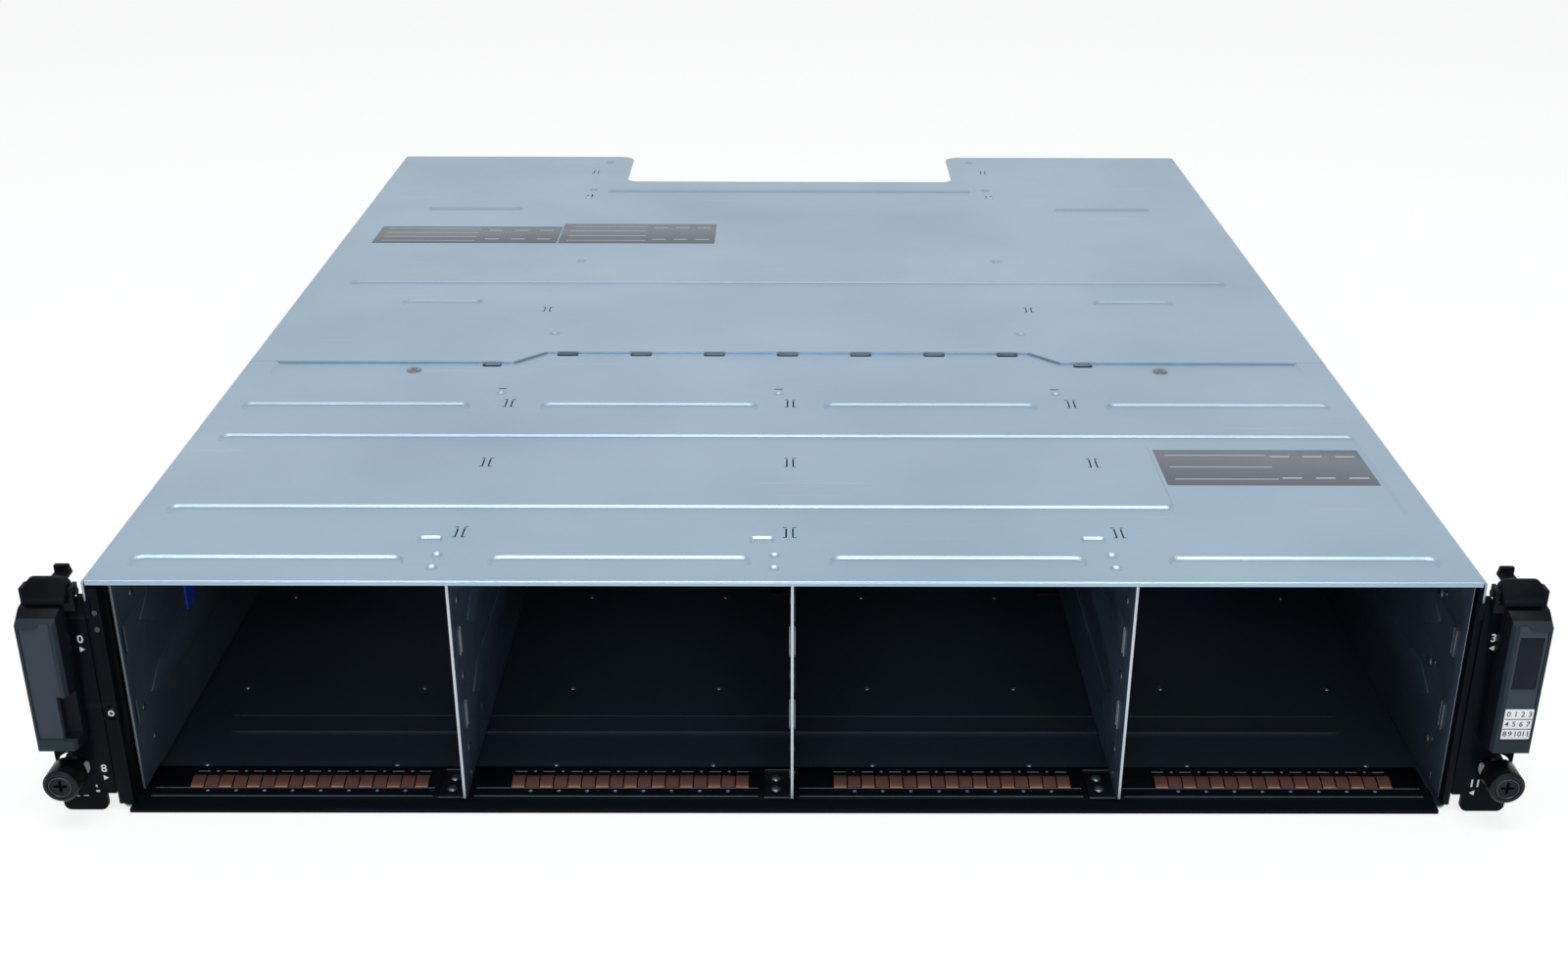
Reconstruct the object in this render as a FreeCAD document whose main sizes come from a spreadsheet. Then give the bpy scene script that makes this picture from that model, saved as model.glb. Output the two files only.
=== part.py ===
import FreeCAD, Part
import os
import Sketcher

# A two-unit disk shelf enclosure: a sheet steel chassis with four columns of drive bays behind an
# open front, a midplane, and bays for two power modules and two controllers behind it.
# X runs to the right, Y runs from the open front to the rear, Z is up.  The origin is the centre of
# the base's underside.  Each piece is drawn with Y counted from the cover's front edge and is set
# back by half the depth in its Placement.

NUMBERS = {
    # whole enclosure
    "body_width": 446.3,
    "body_height": 86.8,
    "body_depth": 529.0,
    "sheet": 0.8,
    "fit_gap": 0.1,
    "bend": 1.6,
    # base tray
    "tray_setback": 2.0,
    "floor_bead_side": 20.0,
    "floor_bead_near": 46.7,
    "floor_bead_far": 57.3,
    "floor_bead_rise": 0.8,
    # covers
    "cover_flange": 12.0,
    "cover_hem": 2.6,
    "bead_depth": 0.8,
    "bead_radius": 4.3,
    "bead_inset": 10.5,
    "bead_gap": 27.0,
    "bead_row_front": 14.2,
    "bead_row_second": 52.7,
    "bead_row_third": 114.7,
    "bead_row_fourth": 146.2,
    "bead_rear_row": 297.2,
    "bead_rear_side": 19.0,
    "notch_bead_row": 454.7,
    "notch_bead_half": 99.0,
    "label_left": 133.0,
    "label_side": 10.0,
    "label_near": 48.4,
    "label_corner": 3.0,
    "pad_width": 9.0,
    "pad_depth": 6.0,
    "pad_row": 30.0,
    "pad_left": 14.6,
    "ledge_drop": 1.0,
    "ledge_side": 179.0,
    "ledge_middle": 195.5,
    "ledge_step": 98.0,
    "ledge_slope": 14.0,
    "ledge_inset": 12.0,
    "ledge_end": 216.0,
    "seam": 195.0,
    "seam_middle": 207.0,
    "seam_gap": 0.2,
    "seam_step": 101.0,
    "seam_slope": 12.0,
    "notch_depth": 53.5,
    "notch_half": 90.0,
    "notch_corner": 6.0,
    "wing_corner": 8.0,
    "rear_pad_long": 51.0,
    "rear_pad_short": 37.5,
    "rear_pad_center": 165.0,
    "rear_pad_center_front": 156.0,
    "rear_pad_row": 420.0,
    "rear_pad_row_front": 270.0,
    # front sill
    "sill_side": 3.8,
    "sill_front": 1.7,
    "sill_rear": 24.0,
    "sill_rib_near": 4.8,
    "sill_rib_far": 9.8,
    "sill_rib_rise": 0.8,
    # dividers and guide plates
    "column_inset": 1.605,
    "column_shift": 2.3,
    "divider_sheet": 1.0,
    "divider_front": 1.7,
    "divider_end": 190.0,
    "divider_foot": 3.5,
    "divider_foot_end": 26.0,
    "tab_width": 9.0,
    "tab_front": 4.0,
    "tab_long": 17.0,
    "tab_rear": 151.0,
    "row_first": 2.2,
    "row_pitch": 28.0,
    "guide_front": 27.0,
    "guide_full": 38.0,
    "guide_end": 184.0,
    "guide_half": 6.0,
    "guide_rise": 0.6,
    "lance_at": 12.5,
    "lance_width": 2.0,
    "lance_height": 9.7,
    "left_plate_gap": 6.05,
    "left_plate_front": 8.7,
    "right_plate_front": 4.5,
    "plate_sheet": 0.8,
    # spring finger strips
    "finger_count": 17,
    "finger_gap": 0.48,
    "finger_sheet": 0.3,
    "finger_front": 12.6,
    "finger_crest": 16.0,
    "finger_rise": 1.7,
    "finger_root": 19.6,
    "strip_rear": 23.4,
    "strip_offset": 14.3,
    "strip_clear": 14.89,
    # midplane
    "board_front": 206.0,
    "board_thickness": 2.4,
    "board_side": 3.0,
    "board_floor_gap": 3.0,
    "frame_sheet": 1.2,
    "frame_flange": 12.0,
    "vent_width": 46.0,
    "vent_height": 10.0,
    "vent_rise": 13.0,
    "plug_width": 42.6,
    "plug_height": 6.6,
    "plug_reach": 8.0,
    "plug_mouth_width": 34.0,
    "plug_mouth_height": 2.6,
    "plug_mouth_depth": 6.0,
    "plug_offset": 28.0,
    "plug_rise": 7.5,
    # rear cage
    "partition_at": 108.5,
    "partition_front": 229.0,
    "partition_end": 520.0,
    "partition_sheet": 1.0,
    "partition_tab": 8.0,
    "shelf_front": 232.0,
    "shelf_end": 474.0,
    "shelf_level": 42.4,
    "shelf_sheet": 1.0,
    "shelf_flange": 6.0,
    "shelf_relief_half": 60.0,
    "shelf_relief_depth": 22.0,
    "control_plug_width": 78.0,
    "control_plug_height": 10.0,
    "control_plug_reach": 12.0,
    "control_plug_mouth": 3.6,
    "power_plug_width": 64.0,
    "power_plug_height": 12.0,
    "power_plug_reach": 14.0,
    "power_plug_blades": 8,
    # side trims
    "trim_front": 0.2,
    "trim_bottom": 2.4,
    "trim_lip": 1.7,
    "left_trim_gap": 4.85,
    "left_trim_rear": 8.4,
    "right_trim_rear": 4.3,
    # ears
    "ear_reach": 18.55,
    "ear_sheet": 2.0,
    "ear_gap": 0.1,
    "ear_top": 81.3,
    "ear_corner": 2.5,
    "ear_notch_top": 6.6,
    "ear_notch_width": 3.6,
    "ear_lever_top": 80.2,
    "ear_lever_out": 1.85,
    "ear_leg": 42.0,
    "ear_leg_sheet": 1.4,
    "ear_leg_bottom": 10.0,
    "ear_leg_top": 72.0,
    "screw_out": 12.85,
    "screw_level": 17.4,
    "screw_hole_radius": 5.3,
    "clip_sheet": 1.2,
    "clip_half": 4.6,
    "clip_bottom": 4.0,
    "clip_clearance": 0.1,
    # ear housings
    "housing_out": 5.25,
    "housing_draft": 1.8,
    "housing_front": 10.0,
    "housing_bottom": 29.6,
    "housing_face_top": 76.0,
    "housing_slope_front": 5.0,
    "housing_slope_top": 79.8,
    "housing_top": 80.3,
    "cheek_width": 1.3,
    "cheek_back": 2.6,
    "cheek_top": 85.2,
    "recess_depth": 1.0,
    "recess_margin": 0.9,
    "recess_bottom": 34.0,
    "recess_top": 74.6,
    "recess_step": 1.8,
    "recess_step_width": 2.6,
    "finger_cut_bottom": 33.2,
    "finger_cut_top": 49.6,
    "finger_cut_width": 2.6,
    "finger_cut_depth": 5.0,
    "panel_drop": 0.3,
    "tag_bottom": 53.2,
    "tag_top": 72.4,
    # latch levers
    "pivot_back": 0.6,
    "pivot_level": 82.8,
    "pivot_radius": 1.2,
    "pivot_clearance": 0.05,
    "pivot_out": 1.25,
    "lever_gap": 0.3,
    "lip_reach": 6.2,
    "lip_bottom": 1.6,
    "lip_top": 0.2,
    "tab_rise": 5.0,
    "tab_thick": 1.8,
    "tab_corner": 2.6,
    "hook_reach": 14.5,
    "hook_rise": 3.4,
    "hook_thick": 2.4,
    "hook_nose": 3.6,
    "boss_radius": 2.2,
    # thumbscrews
    "head_radius": 5.8,
    "head_front": 12.6,
    "head_back": 3.4,
    "head_chamfer": 0.7,
    "head_ring_drop": 0.5,
    "head_face_radius": 4.1,
    "drive_length": 4.4,
    "drive_width": 1.0,
    "drive_depth": 1.8,
    "shank_radius": 2.5,
    "shank_end": 14.0,
    "ring_radius": 4.0,
    "ring_thick": 0.8,
    # front controls
    "board_card_thick": 1.2,
    "card_rear": 40.0,
    "card_bottom": 20.0,
    "card_top": 80.0,
    "cable_thick": 0.6,
    "cable_bottom": 42.0,
    "cable_width": 15.0,
    "switch_level": 38.0,
    "switch_width": 1.6,
    "switch_height": 2.4,
    "switch_slot": 5.6,
    "switch_proud": 0.5,
    "switch_in": 2.85,
    "lens_radius": 0.9,
    "lens_in": 2.95,
    "lens_upper": 75.0,
    "lens_lower": 69.0,
    "tab_strip_near": 71.0,
    "tab_strip_wide": 8.0,
    "tab_strip_thick": 0.4,
    "tab_strip_bottom": 38.0,
}

doc = FreeCAD.newDocument("disk_shelf_enclosure")
sheet_object = doc.addObject("Spreadsheet::Sheet", "Sizes")
for row, (alias, number) in enumerate(NUMBERS.items(), start=1):
    sheet_object.set(f"A{row}", alias)
    sheet_object.set(f"B{row}", str(number))
    sheet_object.setAlias(f"B{row}", alias)
doc.recompute()


class Size:
    """A length that carries its number and the sheet expression it comes from."""

    def __init__(self, number, text):
        self.number = number
        self.text = text

    def __add__(self, other):
        other = as_size(other)
        return Size(self.number + other.number, f"({self.text} + {other.text})")

    def __sub__(self, other):
        other = as_size(other)
        return Size(self.number - other.number, f"({self.text} - {other.text})")

    def __mul__(self, factor):
        factor = as_size(factor)
        return Size(self.number * factor.number, f"({self.text} * {factor.text})")

    def __truediv__(self, factor):
        factor = as_size(factor)
        return Size(self.number / factor.number, f"({self.text} / {factor.text})")

    def __neg__(self):
        return Size(-self.number, f"(0 - {self.text})")

    __radd__ = __add__
    __rmul__ = __mul__

    def __rsub__(self, other):
        return as_size(other) - self


def as_size(value):
    if isinstance(value, Size):
        return value
    return Size(float(value), f"({value})")


class Sheet:
    """Reads a named cell of the sheet as a Size."""

    def __getattr__(self, alias):
        return Size(float(sheet_object.get(alias)), f"Sizes.{alias}")


size = Sheet()
pieces = []


# ---------------------------------------------------------------- sketch outlines

def pin_point(sketch, geometry, point, x, y):
    """Binds one point of a sketch to two sizes."""
    spots = (("DistanceX", x), ("DistanceY", y))
    for kind, value in spots:
        value = as_size(value)
        index = sketch.addConstraint(Sketcher.Constraint(kind, -1, 1, geometry, point, value.number))
        sketch.setExpression(f"Constraints[{index}]", value.text)


def pin_radius(sketch, geometry, radius):
    radius = as_size(radius)
    index = sketch.addConstraint(Sketcher.Constraint("Radius", geometry, radius.number))
    sketch.setExpression(f"Constraints[{index}]", radius.text)


def vector(x, y):
    return FreeCAD.Vector(as_size(x).number, as_size(y).number, 0)


def outline(*corners):
    """A closed outline of straight edges.  A corner with a third value is rounded by that radius;
    its two edges run along the sketch's axes."""

    def draw(sketch):
        count = len(corners)
        ends = []
        for index, corner in enumerate(corners):
            here = vector(corner[0], corner[1])
            if len(corner) == 2:
                ends.append((here, here, None))
                continue
            before = vector(*corners[index - 1][:2]) - here
            after = vector(*corners[(index + 1) % count][:2]) - here
            before.normalize()
            after.normalize()
            radius = as_size(corner[2]).number
            ends.append((here + before * radius, here + after * radius, before + after))
        lines = []
        for index in range(count):
            start = ends[index][1]
            stop = ends[(index + 1) % count][0]
            lines.append(sketch.addGeometry(Part.LineSegment(start, stop), False))
        for index, corner in enumerate(corners):
            into = lines[index - 1]
            out = lines[index]
            if len(corner) == 2:
                sketch.addConstraint(Sketcher.Constraint("Coincident", into, 2, out, 1))
                pin_point(sketch, out, 1, corner[0], corner[1])
                continue
            start, stop, inward = ends[index]
            radius = as_size(corner[2])
            middle = vector(corner[0], corner[1]) + inward * radius.number
            half = inward * (radius.number / 2 ** 0.5)
            arc = Part.Arc(start, middle - half, stop)
            bow = sketch.addGeometry(arc, False)
            sketch.addConstraint(Sketcher.Constraint("Tangent", into, 2, bow, near_end(sketch, bow, start)))
            sketch.addConstraint(Sketcher.Constraint("Tangent", bow, near_end(sketch, bow, stop), out, 1))
            x_side = radius if inward.x > 0 else -radius
            y_side = radius if inward.y > 0 else -radius
            pin_point(sketch, bow, 3, corner[0] + x_side, corner[1] + y_side)
            pin_radius(sketch, bow, radius)

    return draw


def distance(sketch, geometry, point, place):
    return (sketch.getPoint(geometry, point) - place).Length


def rectangle(x_low, y_low, x_high, y_high, radius=None):
    if radius is None:
        return outline((x_low, y_low), (x_high, y_low), (x_high, y_high), (x_low, y_high))
    return outline((x_low, y_low, radius), (x_high, y_low, radius),
                   (x_high, y_high, radius), (x_low, y_high, radius))


def disc(x, y, radius):
    def draw(sketch):
        number = as_size(radius).number
        ring = sketch.addGeometry(Part.Circle(vector(x, y), FreeCAD.Vector(0, 0, 1), number), False)
        pin_point(sketch, ring, 3, x, y)
        pin_radius(sketch, ring, radius)
    return draw


def stadium(x_low, x_high, y, radius):
    """A slot along the sketch's first axis with round ends."""

    def draw(sketch):
        reach = as_size(radius).number
        left = vector(x_low, y) + FreeCAD.Vector(reach, 0, 0)
        right = vector(x_high, y) - FreeCAD.Vector(reach, 0, 0)
        up = FreeCAD.Vector(0, reach, 0)
        side = FreeCAD.Vector(reach, 0, 0)
        top = sketch.addGeometry(Part.LineSegment(left + up, right + up), False)
        right_arc = sketch.addGeometry(Part.Arc(right + up, right + side, right - up), False)
        bottom = sketch.addGeometry(Part.LineSegment(right - up, left - up), False)
        left_arc = sketch.addGeometry(Part.Arc(left - up, left - side, left + up), False)
        joints = ((top, 2, right_arc, right + up), (right_arc, right - up, bottom, 1),
                  (bottom, 2, left_arc, left - up), (left_arc, left + up, top, 1))
        for first, second, third, fourth in joints:
            if isinstance(second, int):
                end = near_end(sketch, third, fourth)
                sketch.addConstraint(Sketcher.Constraint("Tangent", first, second, third, end))
            else:
                end = near_end(sketch, first, second)
                sketch.addConstraint(Sketcher.Constraint("Tangent", first, end, third, fourth))
        pin_point(sketch, left_arc, 3, x_low + radius, y)
        pin_point(sketch, right_arc, 3, x_high - radius, y)
        pin_radius(sketch, left_arc, radius)

    return draw


def near_end(sketch, geometry, place):
    return 1 if distance(sketch, geometry, 1, place) < distance(sketch, geometry, 2, place) else 2


# ---------------------------------------------------------------- bodies and features

def bind(thing, prop, value):
    thing.setExpression(prop, as_size(value).text)


def body_named(label, x=0, y=None, z=0):
    """A body whose Placement sets it in the enclosure; y is counted from the cover's front edge."""
    body = doc.addObject("PartDesign::Body", label)
    body.Label = label
    depth = -size.body_depth / 2
    bind(body, "Placement.Base.x", x)
    bind(body, "Placement.Base.y", depth if y is None else depth + y)
    bind(body, "Placement.Base.z", z)
    pieces.append(body)
    return body


def sketch_on(body, plane, level, drawings):
    sketch = body.newObject("Sketcher::SketchObject", f"{body.Label}_outline")
    face = [item for item in body.Origin.OriginFeatures if item.Role == f"{plane}_Plane"][0]
    sketch.AttachmentSupport = [(face, "")]
    sketch.MapMode = "FlatFace"
    level = as_size(level)
    bind(sketch, "AttachmentOffset.Base.z", -level if plane == "XZ" else level)
    for draw in drawings:
        draw(sketch)
    sketch.Visibility = False
    return sketch


def pad(body, plane, level, length, *drawings):
    """Adds an outline from a level along the plane's positive axis over a length."""
    feature = body.newObject("PartDesign::Pad", f"{body.Label}_pad")
    feature.Profile = sketch_on(body, plane, level, drawings)
    bind(feature, "Length", length)
    feature.Reversed = plane == "XZ"
    return feature


def pocket(body, plane, level, length, *drawings):
    """Cuts an outline from a level along the plane's positive axis over a length."""
    feature = body.newObject("PartDesign::Pocket", f"{body.Label}_pocket")
    feature.Profile = sketch_on(body, plane, level, drawings)
    bind(feature, "Length", length)
    feature.Reversed = plane != "XZ"
    return feature


def axis_of(body, role):
    return [item for item in body.Origin.OriginFeatures if item.Role == role][0]


def repeat(body, features, role, span, count):
    """Copies features in a row along one of the body's axes."""
    pattern = body.newObject("PartDesign::LinearPattern", f"{body.Label}_row")
    pattern.Originals = features
    pattern.Direction = (axis_of(body, role), [""])
    bind(pattern, "Length", span)
    bind(pattern, "Occurrences", count)
    body.Tip = pattern
    return pattern


def revolve(body, plane, role, *drawings):
    feature = body.newObject("PartDesign::Revolution", f"{body.Label}_turned")
    feature.Profile = sketch_on(body, plane, 0, drawings)
    feature.ReferenceAxis = (axis_of(body, role), [""])
    feature.Angle = 360
    return feature


# ---------------------------------------------------------------- shared places

half_width = size.body_width / 2
top = size.body_height
plate_under = top - size.sheet
tray_half = half_width - size.sheet
tray_inner = tray_half - size.sheet
floor_top = size.sheet
inner_top = top - size.ledge_drop - size.sheet - size.fit_gap
right_plate_face = tray_inner - size.plate_sheet
left_plate_face = half_width - size.left_plate_gap
left_trim_inner = half_width - size.left_trim_gap
switch_at = half_width - size.switch_in
lens_at = half_width - size.lens_in
column_pitch = size.body_width / 4 - size.column_inset
ear_edge = half_width + size.ear_reach
ear_lever_inner = half_width + size.ear_lever_out
screw_at = half_width + size.screw_out
housing_inner = half_width + size.housing_out
pivot_inner = half_width + size.pivot_out
sill_top = floor_top + size.sheet
sill_rib_top = sill_top + size.sill_rib_rise


def divider_at(number):
    """X of divider 1, 2 or 3; the row is shifted to the right by the cable gap at the left wall."""
    return size.column_shift + column_pitch * (number - 2)


def row_floor(number):
    """Z of the lower edge of drive row 1, 2 or 3, and of the roof for 4."""
    return size.row_first + size.row_pitch * (number - 1)


# ---------------------------------------------------------------- base tray and front sill

def base_tray():
    body = body_named("base_tray")
    outer = size.bend
    inner = size.bend - size.sheet
    wall_top = plate_under - inner - size.fit_gap
    length = size.body_depth - size.tray_setback
    pad(body, "XZ", size.tray_setback, length, outline(
        (-tray_half, wall_top), (-tray_half, 0, outer), (tray_half, 0, outer), (tray_half, wall_top),
        (tray_inner, wall_top), (tray_inner, floor_top, inner), (-tray_inner, floor_top, inner),
        (-tray_inner, wall_top)))
    row = (size.floor_bead_near + size.floor_bead_far) / 2
    radius = (size.floor_bead_far - size.floor_bead_near) / 2
    reach = tray_inner - size.floor_bead_side
    pad(body, "XY", floor_top, size.floor_bead_rise, stadium(-reach, reach, row, radius))
    hollow = radius - size.sheet
    reach = reach - size.sheet
    pocket(body, "XY", 0, size.floor_bead_rise, stadium(-reach, reach, row, hollow))


def front_sill():
    body = body_named("front_sill")
    half = half_width - size.sill_side
    front = -size.sill_front
    rib_step = size.sheet / 2
    pad(body, "YZ", -half, half * 2, outline(
        (front, 0), (front, sill_top), (size.sill_rib_near - rib_step, sill_top),
        (size.sill_rib_near, sill_rib_top), (size.sill_rib_far, sill_rib_top),
        (size.sill_rib_far + rib_step, sill_top), (size.sill_rear, sill_top),
        (size.sill_rear, floor_top), (front + size.sheet, floor_top), (front + size.sheet, 0)))
    notches = []
    for number in (1, 2, 3):
        edge = divider_at(number) - size.divider_sheet / 2
        notches.append(rectangle(edge - size.tab_width - size.fit_gap, size.tab_front - size.fit_gap,
                                 edge + size.divider_sheet + size.fit_gap,
                                 size.sill_rib_far + size.sheet))
    pocket(body, "XY", sill_top, size.sill_rib_rise, *notches)


# ---------------------------------------------------------------- covers

def cover_shell(body, front, length):
    """The roof with its two folded side flanges."""
    low = top - size.cover_flange
    inner = half_width - size.sheet
    fold = size.bend - size.sheet
    pad(body, "XZ", front, length, outline(
        (-half_width, low), (-half_width, top, size.bend), (half_width, top, size.bend), (half_width, low),
        (inner, low), (inner, plate_under, fold), (-inner, plate_under, fold), (-inner, low)))


def sunk_beads(body, rows):
    """Presses beads into the roof; each is (left, right, row, radius) and keeps the sheet's thickness."""
    wall = size.sheet / 2
    shells = [rectangle(left - wall, row - radius - wall, right + wall, row + radius + wall)
              for left, right, row, radius in rows]
    pad(body, "XY", plate_under - size.bead_depth, size.bead_depth, *shells)
    channels = [stadium(left, right, row, radius) for left, right, row, radius in rows]
    pocket(body, "XY", top - size.bead_depth, size.bead_depth, *channels)


def column_beads(row):
    """Four beads in one row, one over each column of bays."""
    edge = half_width - size.bead_inset
    half_gap = size.bead_gap / 2
    ends = [-edge]
    for number in (1, 2, 3):
        middle = divider_at(number) - size.column_shift
        ends += [middle - half_gap, middle + half_gap]
    ends.append(edge)
    return [(ends[index], ends[index + 1], row, size.bead_radius) for index in (0, 2, 4, 6)]


def front_cover():
    body = body_named("front_cover")
    cover_shell(body, 0, size.seam)
    pad(body, "XZ", 0, size.sheet,
        rectangle(-half_width + size.bend, top - size.cover_hem, half_width - size.bend, plate_under))
    # the sunk ledge on which the rear cover lies
    side = half_width - size.ledge_inset
    shoulder = size.ledge_step + size.ledge_slope
    wall = size.sheet
    ledge_top = top - size.ledge_drop
    pad(body, "XY", ledge_top - size.sheet, size.ledge_drop, outline(
        (-side - wall, size.ledge_end), (-side - wall, size.ledge_side - wall),
        (-shoulder, size.ledge_side - wall), (-size.ledge_step, size.ledge_middle - wall),
        (size.ledge_step, size.ledge_middle - wall), (shoulder, size.ledge_side - wall),
        (side + wall, size.ledge_side - wall), (side + wall, size.ledge_end)))
    beyond = size.ledge_end + size.sheet
    pocket(body, "XY", ledge_top, size.ledge_drop, outline(
        (-side, beyond), (-side, size.ledge_side, size.label_corner),
        (-shoulder, size.ledge_side), (-size.ledge_step, size.ledge_middle),
        (size.ledge_step, size.ledge_middle), (shoulder, size.ledge_side),
        (side, size.ledge_side, size.label_corner), (side, beyond)))
    edge = half_width - size.bead_inset
    rows = column_beads(size.bead_row_front) + column_beads(size.bead_row_fourth)
    inside = size.label_left + size.bead_radius * 2
    rows.append((-edge, inside, size.bead_row_second, size.bead_radius))
    rows.append((-edge, inside, size.bead_row_third, size.bead_radius))
    sunk_beads(body, rows)
    # the sunk field for a label, joined to the second and third rows
    label = rectangle(size.label_left, size.label_near, half_width - size.label_side,
                      size.bead_row_third + size.bead_radius, size.label_corner)
    grown = size.sheet / 2
    shell = rectangle(size.label_left - grown, size.label_near - grown,
                      half_width - size.label_side + grown,
                      size.bead_row_third + size.bead_radius + grown)
    pad(body, "XY", plate_under - size.bead_depth, size.bead_depth, shell)
    pocket(body, "XY", top - size.bead_depth, size.bead_depth, label)
    pads = []
    shells = []
    for number in (1, 2, 3):
        left = divider_at(number) - size.pad_left
        pads.append(rectangle(left, size.pad_row - size.pad_depth / 2,
                              left + size.pad_width, size.pad_row + size.pad_depth / 2))
        shells.append(rectangle(left - grown, size.pad_row - size.pad_depth / 2 - grown,
                                left + size.pad_width + grown,
                                size.pad_row + size.pad_depth / 2 + grown))
    pad(body, "XY", plate_under - size.bead_depth, size.bead_depth, *shells)
    pocket(body, "XY", top - size.bead_depth, size.bead_depth, *pads)


def rear_cover():
    body = body_named("rear_cover")
    front = size.seam + size.seam_gap
    cover_shell(body, front, size.body_depth - front)
    shoulder = size.seam_step + size.seam_slope
    pocket(body, "XY", plate_under, size.sheet, outline(
        (-shoulder, front - size.sheet), (-shoulder, front), (-size.seam_step, size.seam_middle),
        (size.seam_step, size.seam_middle), (shoulder, front), (shoulder, front - size.sheet)))
    notch_front = size.body_depth - size.notch_depth
    beyond = size.body_depth + size.sheet
    pocket(body, "XY", plate_under, size.sheet, outline(
        (-size.notch_half, beyond), (-size.notch_half, notch_front, size.notch_corner),
        (size.notch_half, notch_front, size.notch_corner), (size.notch_half, beyond)))
    edge = half_width - size.bead_rear_side
    rows = [(-edge, edge, size.bead_rear_row, size.bead_radius),
            (-size.notch_bead_half, size.notch_bead_half, size.notch_bead_row, size.bead_radius)]
    for center, long, row in ((size.rear_pad_center, size.rear_pad_long, size.rear_pad_row),
                              (size.rear_pad_center_front, size.rear_pad_short, size.rear_pad_row_front)):
        for middle in (-center, center):
            rows.append((middle - long / 2, middle + long / 2, row, size.bead_radius))
    sunk_beads(body, rows)
    round_wings(body)


def round_wings(body):
    """Rounds the two inner rear corners that the notch leaves on the roof."""
    doc.recompute()
    base = body.Tip
    names = []
    for number, edge in enumerate(base.Shape.Edges, start=1):
        middle = edge.CenterOfMass
        upright = abs(edge.BoundBox.ZLength - size.sheet.number) < 1e-6 and edge.BoundBox.XLength < 1e-6
        at_side = abs(abs(middle.x) - size.notch_half.number) < 1e-6
        if upright and at_side and abs(middle.y - size.body_depth.number) < 1e-6:
            names.append(f"Edge{number}")
    fillet = body.newObject("PartDesign::Fillet", "rear_cover_wings")
    fillet.Base = (base, names)
    bind(fillet, "Radius", size.wing_corner)


# ---------------------------------------------------------------- dividers and guide plates

def guide_outlines(low, grown):
    """The long guides between drive rows: pointed in front, open height behind."""
    shapes = []
    for number in (2, 3):
        middle = row_floor(number)
        shapes.append(outline(
            (size.guide_front - grown, middle), (size.guide_full - grown, middle - size.guide_half - grown),
            (size.guide_end + grown, middle - size.guide_half - grown),
            (size.guide_end + grown, middle + size.guide_half + grown),
            (size.guide_full - grown, middle + size.guide_half + grown)))
    return shapes


def lance_slots():
    """Upright slots at the row lines, behind the front edge."""
    shapes = []
    for number in (2, 3):
        middle = row_floor(number)
        shapes.append(rectangle(size.lance_at - size.lance_width / 2, middle - size.lance_height / 2,
                                size.lance_at + size.lance_width / 2, middle + size.lance_height / 2))
    return shapes


def guide_wall(body, face, thick, rise_side, front, foot):
    """A bay wall from face to face + thick with its guides pressed towards +X or -X."""
    floor = floor_top + size.floor_bead_rise + size.fit_gap
    behind_sill = size.divider_foot_end
    pad(body, "YZ", face, thick, outline(
        (front, foot), (behind_sill, foot), (behind_sill, floor), (size.divider_end, floor),
        (size.divider_end, inner_top), (front, inner_top)))
    rise = size.guide_rise
    raised = face + thick if rise_side > 0 else face - rise
    sunk = face if rise_side > 0 else face + thick - rise
    pad(body, "YZ", raised, rise, *guide_outlines(foot, size.sheet / 2))
    pocket(body, "YZ", sunk, rise, *guide_outlines(foot, as_size(0)))
    pocket(body, "YZ", face, thick, *lance_slots())


def divider(number):
    body = body_named(f"divider_{number}", x=divider_at(number))
    half = size.divider_sheet / 2
    guide_wall(body, -half, size.divider_sheet, 1, size.divider_front, size.divider_foot)
    left = -half - size.tab_width
    front_tab = rectangle(left, size.tab_front, half, size.tab_front + size.tab_long)
    rear_tab = rectangle(left, size.tab_rear, half, size.tab_rear + size.tab_long)
    pad(body, "XY", sill_top, size.divider_foot - sill_top + size.sheet / 2,
        rectangle(-half, size.tab_front, half, size.tab_front + size.tab_long))
    pad(body, "XY", sill_top, size.sheet, front_tab)
    pad(body, "XY", floor_top + size.fit_gap, size.floor_bead_rise, rear_tab)
    pad(body, "XY", inner_top - size.sheet, size.sheet, front_tab, rear_tab)


def left_guide_plate():
    body = body_named("left_guide_plate")
    face = -left_plate_face
    foot = sill_rib_top + size.fit_gap
    guide_wall(body, face - size.plate_sheet, size.plate_sheet, 1, size.left_plate_front, foot)
    tab_edge = -tray_inner + size.bend - size.sheet
    tab = rectangle(tab_edge, size.tab_rear, face, size.tab_rear + size.tab_long)
    pad(body, "XY", floor_top + size.fit_gap, size.floor_bead_rise, tab)
    pad(body, "XY", inner_top - size.sheet, size.sheet, tab)


def right_guide_plate():
    body = body_named("right_guide_plate")
    foot = sill_rib_top + size.fit_gap
    guide_wall(body, right_plate_face, size.plate_sheet - size.fit_gap, -1, size.right_plate_front, foot)


# ---------------------------------------------------------------- spring finger strips

def finger_strip(column):
    """A strip of seventeen bowed spring fingers that ground the drive carriers of one column."""
    left_wall = -left_plate_face if column == 1 else divider_at(column - 1)
    body = body_named(f"finger_strip_{column}", x=left_wall + size.strip_offset)
    thin = size.finger_sheet
    low = sill_top
    long = column_pitch - size.strip_offset - size.strip_clear
    pad(body, "XY", low, thin, rectangle(0, size.finger_root, long, size.strip_rear))
    crest = low + size.finger_rise
    width = (long + size.finger_gap) / size.finger_count - size.finger_gap
    finger = pad(body, "YZ", 0, width, outline(
        (size.finger_root - thin, low), (size.finger_crest, crest - thin),
        (size.finger_front, low + thin), (size.finger_crest, crest),
        (size.finger_root + thin, low + thin)))
    repeat(body, [finger], "X_Axis", long - width, size.finger_count)


# ---------------------------------------------------------------- midplane

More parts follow.
